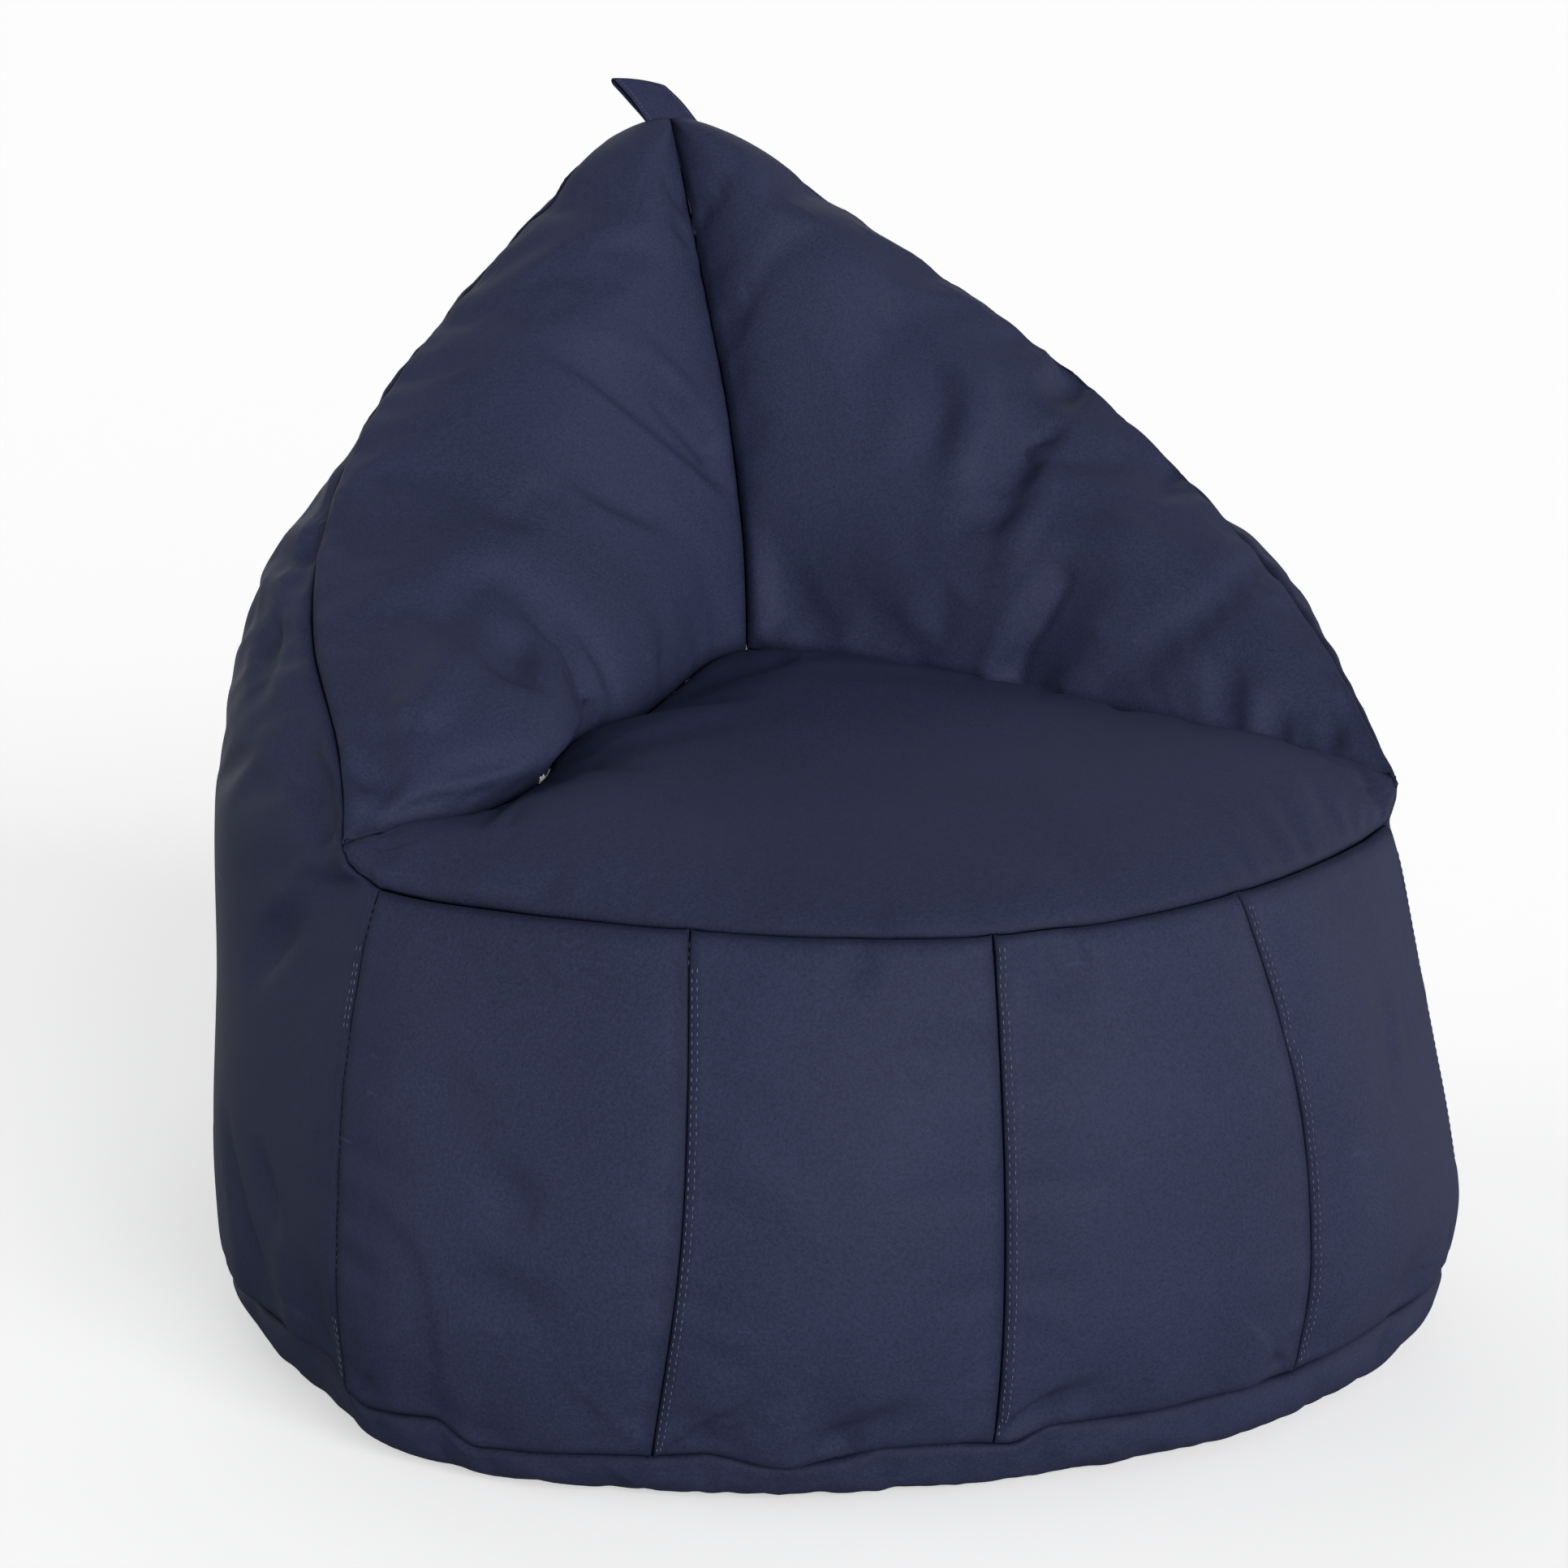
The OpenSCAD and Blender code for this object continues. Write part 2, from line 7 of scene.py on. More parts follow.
# %% Load the frame
import bpy
import bmesh
import math
from mathutils import Matrix, Vector, noise
from mathutils.bvhtree import BVHTree
from mathutils.kdtree import KDTree
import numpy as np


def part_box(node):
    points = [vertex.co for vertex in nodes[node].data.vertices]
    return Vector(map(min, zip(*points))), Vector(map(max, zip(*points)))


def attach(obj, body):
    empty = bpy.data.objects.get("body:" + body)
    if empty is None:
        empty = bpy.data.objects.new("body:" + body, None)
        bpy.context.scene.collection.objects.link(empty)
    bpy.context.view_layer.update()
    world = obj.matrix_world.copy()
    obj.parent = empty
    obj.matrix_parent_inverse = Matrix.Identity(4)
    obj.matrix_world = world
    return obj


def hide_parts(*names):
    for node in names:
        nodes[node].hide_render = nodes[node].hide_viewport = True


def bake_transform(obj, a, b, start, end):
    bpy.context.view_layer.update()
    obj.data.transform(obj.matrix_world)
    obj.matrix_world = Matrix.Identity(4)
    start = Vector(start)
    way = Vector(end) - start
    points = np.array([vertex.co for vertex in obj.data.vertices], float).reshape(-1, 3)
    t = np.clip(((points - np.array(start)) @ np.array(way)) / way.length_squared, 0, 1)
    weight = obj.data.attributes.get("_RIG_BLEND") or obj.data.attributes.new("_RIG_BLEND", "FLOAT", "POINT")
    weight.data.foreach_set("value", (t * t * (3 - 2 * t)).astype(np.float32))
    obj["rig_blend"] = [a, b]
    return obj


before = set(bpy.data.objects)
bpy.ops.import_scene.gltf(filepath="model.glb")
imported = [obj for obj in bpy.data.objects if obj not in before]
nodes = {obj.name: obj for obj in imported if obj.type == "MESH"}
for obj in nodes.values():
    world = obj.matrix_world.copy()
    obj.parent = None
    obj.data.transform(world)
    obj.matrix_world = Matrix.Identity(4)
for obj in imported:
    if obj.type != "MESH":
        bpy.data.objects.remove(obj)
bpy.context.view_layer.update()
MM = 0.001

# %% [markdown]
# The camera comes first. A long lens from a little above the seat keeps the drum's sides
# upright, and turning to one side shows an arm, the seat and the front together.

# %% Camera
camera_data = bpy.data.cameras.new("camera")
camera_data.lens = 83.9
camera_data.sensor_width = 36
camera = bpy.data.objects.new("camera", camera_data)
camera.location = (-0.688, -2.495, 0.948)
camera.rotation_euler = (math.radians(90 - 12.4), 0, math.radians(-14.8))
bpy.context.scene.collection.objects.link(camera)
bpy.context.scene.camera = camera

# %% [markdown]
# The frame's panels are thin closed shells. Cloth work needs only their outsides, joined into
# one skin. A face that lies exactly on a neighbour's face is a cut edge inside a seam, so it
# goes. What is left of each panel is two islands, and the outer one is further from the liner.

# %% The outside of the cover
COVER = [
    "seat_panel", "inner_back_left", "inner_back_right", "outer_back_left", "outer_back_right",
    "front_wall_left_outer", "front_wall_left_inner", "front_wall_right_inner",
    "front_wall_right_outer", "base_panel",
]
SEAT, INNER_L, INNER_R, OUTER_L, OUTER_R, WALL_1, WALL_2, WALL_3, WALL_4, BASE = range(10)
CLOSE = 0.02 * MM


def panel_meshes():
    """Each panel of the frame as a bmesh with its loose triangles merged."""
    parts = []
    for name in COVER:
        part = bmesh.new()
        part.from_mesh(nodes[name].data)
        bmesh.ops.remove_doubles(part, verts=part.verts, dist=CLOSE)
        parts.append(part)
    return parts


def tree_of(places):
    """A search tree for the nearest of some places."""
    tree = KDTree(len(places))
    for i, place in enumerate(places):
        tree.insert(place, i)
    tree.balance()
    return tree


def surface_of(meshes):
    """One search tree for the surfaces of several meshes."""
    places, faces = [], []
    for mesh in meshes:
        first = len(places)
        places += [v.co for v in mesh.vertices]
        faces += [[first + i for i in polygon.vertices] for polygon in mesh.polygons]
    return BVHTree.FromPolygons(places, faces)


def islands(faces):
    """The faces in groups that hang together by their edges."""
    left, found = dict.fromkeys(faces), []
    while left:
        first = next(iter(left))
        del left[first]
        island, edge_of_search = [first], [first]
        while edge_of_search:
            face = edge_of_search.pop()
            for other in (o for edge in face.edges for o in edge.link_faces if o in left):
                del left[other]
                island.append(other)
                edge_of_search.append(other)
        found.append(island)
    return found


def outer_island(part, cut_edges, liner):
    faces = [f for f in part.faces if f not in cut_edges]

    def clearance(island):
        return sum(liner.find_nearest(f.calc_center_median())[3] for f in island) / len(island)

    return max((i for i in islands(faces) if len(i) > 20), key=clearance)


zip_low, zip_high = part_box("cover_zip_tape_left")


def in_zip_opening(v):
    """True for a point on either edge of the opening that the cover's zip closes."""
    level = zip_low.z - 50 * MM < v.co.z < zip_high.z + 50 * MM
    return level and v.co.y > 0 and abs(v.co.x) < 4 * MM


def outside_of_cover():
    """One closed skin of the panels' outsides. A face's material index is its panel's number."""
    parts = panel_meshes()
    centres = [(f.calc_center_median(), n) for n, part in enumerate(parts) for f in part.faces]
    tree = tree_of([centre for centre, _ in centres])
    liner = surface_of([nodes["liner_bag"].data])
    skin = bmesh.new()
    for number, part in enumerate(parts):
        cut = set()
        for face in part.faces:
            near = tree.find_range(face.calc_center_median(), CLOSE)
            by_zip = all(in_zip_opening(v) for v in face.verts)
            if by_zip or any(centres[i][1] != number for _, i, _ in near):
                cut.add(face)
        keep = set(outer_island(part, cut, liner))
        bmesh.ops.delete(part, geom=[f for f in part.faces if f not in keep], context="FACES")
        for face in part.faces:
            face.material_index = number
        mesh = bpy.data.meshes.new("part")
        part.to_mesh(mesh)
        part.free()
        skin.from_mesh(mesh)
        bpy.data.meshes.remove(mesh)
    for v in skin.verts:
        if in_zip_opening(v):
            v.co.x = 0
    bmesh.ops.remove_doubles(skin, verts=skin.verts, dist=2 * CLOSE)
    bmesh.ops.join_triangles(
        skin, faces=skin.faces, cmp_materials=True,
        angle_face_threshold=math.radians(60), angle_shape_threshold=math.radians(80),
    )
    return skin


skin = outside_of_cover()
open_edges = [e for e in skin.edges if len(e.link_faces) != 2]
print("skin:", len(skin.faces), "faces,", len(open_edges), "open edges,",
      len([f for f in skin.faces if len(f.verts) == 3]), "triangles")

# %% [markdown]
# A sewn cover is smooth inside each panel and sharp along its seams. A subdivision surface
# gives just that when the seam edges are creased, so the coarse skin goes through one twice
# over, and comes out fine enough to wrinkle. The panels are also unwrapped flat here, while the
# skin is coarse, because their weave will follow that layout and subdividing carries it along.

# %% Smooth panels with sharp seams
SIM_LEVELS = 2


def is_seam(edge):
    return len({face.material_index for face in edge.link_faces}) == 2


def panels_at(v):
    return {f.material_index for f in v.link_faces}


def crease_seams(mesh_data):
    edge_marks, point_marks = mesh_data.edges.layers.float, mesh_data.verts.layers.float
    crease = edge_marks.get("crease_edge") or edge_marks.new("crease_edge")
    point = point_marks.get("crease_vert") or point_marks.new("crease_vert")
    for edge in mesh_data.edges:
        edge[crease] = float(is_seam(edge))
    for v in mesh_data.verts:
        v[point] = float(len(panels_at(v)) > 2)


def object_of(mesh_data, name, smooth=False):
    """Makes an object of the mesh data, and frees the data."""
    for face in mesh_data.faces:
        face.smooth = face.smooth or smooth
    mesh = bpy.data.meshes.new(name)
    mesh_data.to_mesh(mesh)
    mesh_data.free()
    piece = bpy.data.objects.new(name, mesh)
    bpy.context.scene.collection.objects.link(piece)
    return piece


def with_modifiers_applied(piece):
    """Replaces the piece's mesh by what its modifiers make of it."""
    graph = bpy.context.evaluated_depsgraph_get()
    applied = bpy.data.meshes.new_from_object(piece.evaluated_get(graph))
    piece.modifiers.clear()
    old = piece.data
    piece.data = applied
    bpy.data.meshes.remove(old)
    return piece


def subdivided(piece, levels):
    modifier = piece.modifiers.new("smooth", "SUBSURF")
    modifier.levels = modifier.render_levels = levels
    return with_modifiers_applied(piece)


def unfold(piece):
    """Unwraps each panel flat, cut along its seams."""
    work = bmesh.new()
    work.from_mesh(piece.data)
    for edge in work.edges:
        edge.seam = is_seam(edge)
    work.to_mesh(piece.data)
    work.free()
    bpy.context.view_layer.objects.active = piece
    piece.select_set(True)
    bpy.ops.object.mode_set(mode="EDIT")
    bpy.ops.mesh.select_all(action="SELECT")
    bpy.ops.uv.unwrap(method="ANGLE_BASED", margin=0.01)
    bpy.ops.object.mode_set(mode="OBJECT")
    piece.select_set(False)


crease_seams(skin)
cover = object_of(skin, "cover")
unfold(cover)
subdivided(cover, SIM_LEVELS)
print("fine skin:", len(cover.data.polygons), "faces")

# %% [markdown]
# Loose beads settle, so a real chair isn't quite alike on both sides. A few soft pushes lean
# the peak, let one backrest cushion hang over the seat and flatten the other, and the hem
# rises and falls round the base. Each push fades out over its radius, and when it names a
# panel it leaves the panel's seams where they are.

# %% Settle the shape
PUSHES = [
    # centre, radius, push, panel
    ((0, 416, 838), 300, (-13, 0, -3), None),
    ((-50, 400, 808), 90, (-7, 0, 6), None),
    ((30, 400, 808), 90, (6, 0, 5), None),
    ((-400, -198, 130), 300, (17, -36, 0), None),
    ((-220, -372, 200), 240, (21, -12, 0), None),
    ((-215, -20, 450), 215, (26, -26, -6), None),
    ((-290, -95, 435), 150, (22, -32, -4), None),
    ((-240, -20, 446), 130, (20, -26, -4), INNER_L),
    ((-300, -90, 440), 120, (16, -22, 0), INNER_L),
    ((-115, 115, 460), 130, (12, -34, -14), None),
    ((425, -130, 230), 180, (-21, 6, 0), None),
    ((430, -110, 125), 120, (-16, 5, 0), None),
    ((190, 170, 610), 220, (-7, 13, -6), INNER_R),
    ((30, 195, 475), 100, (3, 12, -3), INNER_R),
    ((120, 250, 700), 120, (-2, 5, -3), INNER_R),
    ((-250, 300, 620), 260, (16, -6, -16), OUTER_L),
    ((270, 290, 600), 260, (-20, -10, -16), OUTER_R),
    ((-430, 20, 430), 190, (-5, 0, 2), OUTER_L),
    ((445, -10, 250), 260, (-26, 0, 0), OUTER_R),
    ((410, -160, 300), 140, (-12, 4, 0), OUTER_R),
    ((400, -210, 200), 200, (-10, 4, 0), WALL_4),
]
SEAM_HOLD = 34 * MM


def distance_from_seams(data):
    """For each point, how far it is from the nearest seam."""
    work = bmesh.new()
    work.from_mesh(data)
    tree = tree_of([v.co.copy() for v in work.verts if len(panels_at(v)) > 1])
    distances = [tree.find(v.co)[2] for v in work.verts]
    panel_of = [next(iter(panels_at(v))) if len(panels_at(v)) == 1 else None for v in work.verts]
    work.free()
    return distances, panel_of


def eased(share):
    """0 to 1, slow at both ends."""
    share = min(1, max(0, share))
    return share * share * (3 - 2 * share)


def push_cloth(data, pushes):
    distances, panel_of = distance_from_seams(data)
    for centre, radius, push, panel in pushes:
        centre, radius, push = Vector(centre) * MM, radius * MM, Vector(push) * MM
        for v, distance, number in zip(data.vertices, distances, panel_of):
            reach = (v.co - centre).length / radius
            if reach < 1 and (panel is None or number == panel):
                hold = 1 if panel is None else eased(distance / SEAM_HOLD)
                v.co += push * hold * (1 - reach * reach) ** 2


# The height of the hem at angles round the chair, from the left side past the front to the right.
HEM = [(-180, 30), (-120, 32), (-90, 44), (-61, 54), (-56, 36), (-48, 43), (-45, 27), (-33, 33),
       (-25, 37), (-18, 27), (-10, 38), (-3, 37), (2, 34), (5, 42), (20, 44), (45, 52), (62, 50),
       (90, 40), (130, 30), (180, 30)]
HEM_REST = 28
HEM_REACH = 150


def hem_height(angle):
    for (start, low), (end, high) in zip(HEM, HEM[1:]):
        if start <= angle <= end:
            return low + (high - low) * (angle - start) / (end - start)


def settle_hem(data):
    """Lifts the hem and the cloth just above and below it."""
    for v in data.vertices:
        z = v.co.z / MM
        if z < HEM_REACH:
            lift = hem_height(math.degrees(math.atan2(v.co.x, -v.co.y))) - HEM_REST
            above = (z - HEM_REST) / (HEM_REACH - HEM_REST)
            share = z / HEM_REST if above < 0 else 1 - above
            v.co.z += lift * eased(share) * MM


push_cloth(cover.data, PUSHES)
settle_hem(cover.data)

# %% [markdown]
# Beads push cloth out from inside, and only the seams hold it back. Blender's Cloth does that
# with pressure. The rest size of the cloth is made a little larger than the panels, so it has
# spare cloth to wrinkle, and the seams are pinned so that the chair keeps its size. The peak
# stays still too, because the handle is sewn there.

# %% Wrinkle the cloth
SPARE_CLOTH = 0.017
BEAD_PRESSURE = 3.0
FRAMES = 24
PEAK = Vector((-13, 416, 835)) * MM
STILL_PEAK = 65 * MM
MOST_OUT = 6 * MM
MOST_IN = 9 * MM


def beside_zip(place):
    return abs(place.x) < 16 * MM and place.y > 0.3 and zip_low.z < place.z < zip_high.z


def wrinkle(piece):
    """Runs the simulation on the piece, applies it, and eases each point back within the limits."""
    before = [(v.co.copy(), v.normal.copy()) for v in piece.data.vertices]
    distances, panel_of = distance_from_seams(piece.data)
    pins = piece.vertex_groups.new(name="pins")
    pinned = [v.index for v in piece.data.vertices
              if v.co.z < 3 * MM or panel_of[v.index] is None or beside_zip(v.co)
              or (v.co - PEAK).length < STILL_PEAK]
    pins.add(pinned, 1.0, "REPLACE")
    cloth = piece.modifiers.new("cloth", "CLOTH")
    cloth.settings.quality = 5
    cloth.settings.mass = 0.2
    cloth.settings.tension_stiffness = cloth.settings.compression_stiffness = 20
    cloth.settings.shear_stiffness = 8
    cloth.settings.bending_stiffness = 0.8
    cloth.settings.shrink_min = -SPARE_CLOTH
    cloth.settings.use_pressure = True
    cloth.settings.uniform_pressure_force = BEAD_PRESSURE
    cloth.settings.vertex_group_mass = "pins"
    cloth.settings.effector_weights.gravity = 0
    cloth.collision_settings.use_collision = False
    cloth.point_cache.frame_start = 1
    cloth.point_cache.frame_end = FRAMES
    for frame_number in range(1, FRAMES + 1):
        bpy.context.scene.frame_set(frame_number)
    with_modifiers_applied(piece)
    bpy.context.scene.frame_set(1)
    piece.vertex_groups.clear()
    moved = []
    for v, (start, normal) in zip(piece.data.vertices, before):
        move = v.co - start
        most = MOST_OUT if move.dot(normal) > 0 else MOST_IN
        most *= eased(((start - PEAK).length - STILL_PEAK) / STILL_PEAK)
        share = math.tanh(move.length / most) if most > 0 else 0
        v.co = start + move.normalized() * most * share
        moved.append((v.co - start).length)
    return max(moved)


print("most move, mm:", round(wrinkle(cover) / MM, 1))

# %% [markdown]
# One more subdivision brings the mesh to about five millimetres, which is fine enough for the
# puckers along a seam. The seam edges are creased again, because applying a modifier leaves
# only the mesh. A copy of the coarser skin is kept, for the liner and the beads inside.

# %% A finer skin
inner_skin = cover.copy()
inner_skin.data = cover.data.copy()
inner_skin.name = "inner_skin"
bpy.context.scene.collection.objects.link(inner_skin)


def refined(piece):
    work = bmesh.new()
    work.from_mesh(piece.data)
    crease_seams(work)
    work.to_mesh(piece.data)
    work.free()
    return subdivided(piece, 1)


refined(cover)
print("finest skin:", len(cover.data.polygons), "faces")

# %% [markdown]
# The simulation gives the cloth its small wrinkles. The large folds belong to this chair: the
# way it was last sat in. They are drawn one by one, each along a short line on the cloth. A fold
# has a height, which is below zero for a trough, and a width on each side of its line, so a
# narrow side makes a sharp crease and a wide one a soft slope.

# %% Draw the large folds
FOLDS = [
    # panel, line in mm, height, width to the left, width to the right, fade in, fade out
    (INNER_R, [(168, 78, 436), (192, 66, 495), (224, 76, 542)], -13, 26, 52, 0.0, 0.35),
    (INNER_R, [(168, 78, 436), (192, 66, 495), (224, 76, 542)], -4, 7, 9, 0.0, 0.5),
    (INNER_R, [(252, 165, 640), (212, 152, 612), (170, 126, 565), (150, 120, 530)], -11, 20, 40, 0.25, 0.5),
    (INNER_R, [(252, 165, 640), (212, 152, 612), (186, 136, 585)], -4, 7, 9, 0.2, 0.5),
    (INNER_R, [(226, 138, 602), (190, 110, 548), (160, 98, 480)], 6, 18, 22, 0.4, 0.5),
    (INNER_R, [(108, 275, 735), (140, 222, 680), (146, 190, 640), (128, 170, 598), (105, 165, 555)],
     -10, 26, 40, 0.25, 0.4),
    (INNER_R, [(175, 240, 700), (180, 205, 660), (165, 170, 615), (130, 150, 570)], 6, 30, 30, 0.4, 0.4),
    (INNER_R, [(70, 285, 715), (100, 245, 670), (110, 215, 630), (90, 205, 590)], -5, 26, 34, 0.5, 0.5),
    (INNER_R, [(298, 250, 668), (262, 212, 646), (240, 190, 620)], -8, 18, 30, 0.0, 0.6),
    (INNER_R, [(330, 160, 585), (296, 120, 560), (270, 110, 530)], -6, 20, 34, 0.1, 0.6),
    (INNER_R, [(240, 100, 568), (262, 66, 542), (300, 32, 516)], 6, 26, 40, 0.4, 0.6),
    (INNER_R, [(22, 215, 520), (38, 200, 480), (52, 188, 452)], -2.5, 22, 28, 0.5, 0.0),
    (INNER_R, [(76, 175, 500), (92, 158, 470), (108, 145, 448)], -3, 24, 28, 0.6, 0.0),
    (INNER_R, [(300, -20, 470), (292, -45, 440), (290, -60, 420)], -5, 22, 26, 0.5, 0.0),
    (INNER_R, [(332, -68, 450), (318, -84, 430), (308, -92, 418)], -6, 18, 22, 0.5, 0.0),
    (INNER_R, [(352, -100, 432), (346, -116, 420)], -4, 14, 14, 0.4, 0.0),
    (INNER_L, [(-185, 232, 700), (-115, 216, 650), (-58, 228, 604), (-12, 242, 560)], -9, 40, 18, 0.4, 0.1),
    (INNER_L, [(-95, 240, 668), (-58, 238, 626), (-20, 244, 584)], -7, 24, 14, 0.5, 0.1),
    (INNER_L, [(-190, 150, 612), (-120, 168, 568), (-58, 196, 536)], -8, 40, 20, 0.5, 0.4),
    (INNER_L, [(-110, 250, 695), (-70, 242, 662), (-30, 252, 622)], 5, 20, 26, 0.5, 0.3),
    (INNER_L, [(-34, 322, 772), (-14, 330, 742)], -4, 14, 14, 0.5, 0.3),
    (INNER_L, [(-228, 22, 490), (-238, -8, 455), (-256, -40, 430)], -11, 20, 34, 0.4, 0.0),
    (INNER_L, [(-206, 44, 520), (-192, 30, 478), (-184, 28, 442)], -9, 26, 22, 0.5, 0.0),
    (INNER_L, [(-268, -8, 486), (-290, -56, 452), (-304, -86, 428)], 9, 30, 30, 0.5, 0.1),
    (INNER_L, [(-340, -72, 462), (-334, -96, 436), (-326, -112, 414)], -7, 20, 22, 0.5, 0.0),
    (INNER_L, [(-358, -98, 440), (-352, -120, 416)], -4, 14, 14, 0.4, 0.0),
    (OUTER_L, [(-285, 236, 640), (-312, 190, 600), (-340, 138, 563), (-362, 90, 532), (-372, 45, 508)],
     -7, 12, 18, 0.2, 0.4),
    (OUTER_L, [(-392, 84, 520), (-394, 40, 480), (-396, -4, 452)], -8, 16, 26, 0.4, 0.5),
    (OUTER_L, [(-388, -35, 452), (-384, -90, 428), (-382, -138, 402)], -9, 20, 28, 0.5, 0.0),
    (OUTER_L, [(-388, -138, 345), (-410, -100, 308), (-428, -60, 270)], -6, 18, 26, 0.4, 0.5),
    (OUTER_L, [(-385, -150, 375), (-408, -95, 345), (-425, -30, 330)], 5, 22, 22, 0.3, 0.6),
    (OUTER_L, [(-440, -20, 190), (-434, -80, 120), (-426, -120, 62)], -6, 22, 30, 0.5, 0.3),
    (OUTER_L, [(-432, -110, 185), (-418, -170, 120)], -5, 20, 24, 0.5, 0.4),
    (OUTER_R, [(395, -140, 330), (418, -90, 240), (425, -60, 150)], -6, 20, 26, 0.4, 0.5),
    (OUTER_R, [(380, -80, 420), (405, -20, 380), (415, 40, 360)], -6, 20, 28, 0.3, 0.6),
    (WALL_1, [(-382, -258, 190), (-347, -305, 150), (-340, -315, 60)], -2, 12, 34, 0.3, 0.2),
    (WALL_1, [(-318, -322, 205), (-297, -345, 202), (-278, -358, 182)], -7, 30, 30, 0.5, 0.4),
    (WALL_1, [(-358, -258, 268), (-327, -295, 260), (-295, -330, 245)], -6, 28, 34, 0.5, 0.5),
    (WALL_1, [(-340, -312, 155), (-285, -358, 132), (-300, -345, 100)], -6, 30, 34, 0.5, 0.5),
    (WALL_3, [(44, -392, 372), (56, -402, 350), (66, -408, 330)], -5, 12, 14, 0.0, 0.6),
    (WALL_3, [(22, -398, 370), (42, -410, 338), (64, -416, 305)], -6, 18, 26, 0.2, 0.6),
    (WALL_2, [(-78, -392, 366), (-98, -400, 335)], -4, 18, 24, 0.2, 0.6),
    (WALL_4, [(205, -380, 275), (232, -360, 282)], -4, 14, 14, 0.0, 0.6),
    (WALL_2, [(-110, -418, 40), (-80, -422, 66), (-40, -424, 78)], -5, 16, 20, 0.1, 0.6),
    (WALL_3, [(10, -420, 46), (50, -424, 70), (80, -420, 78)], -6, 14, 20, 0.0, 0.6),
    (WALL_4, [(312, -290, 300), (296, -340, 200)], -5, 20, 28, 0.4, 0.5),
    (WALL_4, [(345, -250, 310), (338, -305, 190)], -4, 18, 22, 0.4, 0.5),
    (SEAT, [(-300, -120, 436), (-150, -80, 462), (0, -40, 474)], -2.5, 34, 44, 0.5, 0.5),
    (SEAT, [(-80, 60, 462), (60, 30, 472), (190, -60, 462)], -2, 34, 44, 0.5, 0.5),
]


def line_through(points, spacing=4 * MM):
    """Places along a smooth line through given points in millimetres."""
    keys = [Vector(p) * MM for p in points]
    keys = [2 * keys[0] - keys[1], *keys, 2 * keys[-1] - keys[-2]]
    line = []
    for a, b, c, d in zip(keys, keys[1:], keys[2:], keys[3:]):
        count = max(1, round((c - b).length / spacing))
        for t in (i / count for i in range(count)):
            line.append(0.5 * (2 * b + (c - a) * t + (2 * a - 5 * b + 4 * c - d) * t * t
                               + (3 * b - a - 3 * c + d) * t * t * t))
    return [*line, keys[-2]]


def fold_cloth(data, folds):
    _, panel_of = distance_from_seams(data)
    tree = tree_of([v.co for v in data.vertices])
    surface = surface_of([data])
    normals = [v.normal.copy() for v in data.vertices]
    moves = {}
    for panel, points, height, left, right, fade_in, fade_out in folds:
        line = [surface.find_nearest(place)[0] for place in line_through(points)]
        nearest = {}
        for k, place in enumerate(line):
            for _, i, distance in tree.find_range(place, max(left, right) * MM):
                if panel_of[i] == panel and distance < nearest.get(i, (1, 0))[0]:
                    nearest[i] = (distance, k)
        for i, (distance, k) in nearest.items():
            along = line[min(k + 1, len(line) - 1)] - line[max(k - 1, 0)]
            side = (data.vertices[i].co - line[k]).dot(along.cross(normals[i]))
            width = (right if side > 0 else left) * MM
            if distance < width:
                share = k / (len(line) - 1)
                start = eased(share / fade_in) if fade_in else 1
                end = eased((1 - share) / fade_out) if fade_out else 1
                slope = (1 - (distance / width) ** 2) ** 2
                move = normals[i] * height * MM * slope * start * end
                moves[i] = moves.get(i, Vector()) + move
    for i, move in moves.items():
        data.vertices[i].co += move
    return len(moves)


print("points moved by folds:", fold_cloth(cover.data, FOLDS))

# %% [markdown]
# Every seam pulls the cloth in. Where two full panels meet, the seam sinks between round
# shoulders. A felled seam, which is stitched down flat, makes only a fine line. The hem round
# the base is deep and puckers most. So each kind of seam has its own width, depth and pucker.
# At a sharp rim a single point's normal can face anywhere, so normals are evened out too.

# %% What each kind of seam does
STYLES = {
    "full": {"width": 9 * MM, "depth": 6.5 * MM, "pucker": 1.0 * MM, "reach": 18 * MM, "wave": 38 * MM},
    "felled": {"width": 3 * MM, "depth": 2.2 * MM, "pucker": 0.5 * MM, "reach": 22 * MM, "wave": 40 * MM},
    "hem": {"width": 8 * MM, "depth": 7 * MM, "pucker": 4.2 * MM, "reach": 20 * MM, "wave": 46 * MM},
}
SHALLOW_PEAK = 110 * MM
WALLS = {WALL_1, WALL_2, WALL_3, WALL_4}
OUTERS = {OUTER_L, OUTER_R}


def seam_kind(panels):
    if BASE in panels:
        return "hem"
    if panels <= WALLS | OUTERS:
        return "felled"
    return "full"


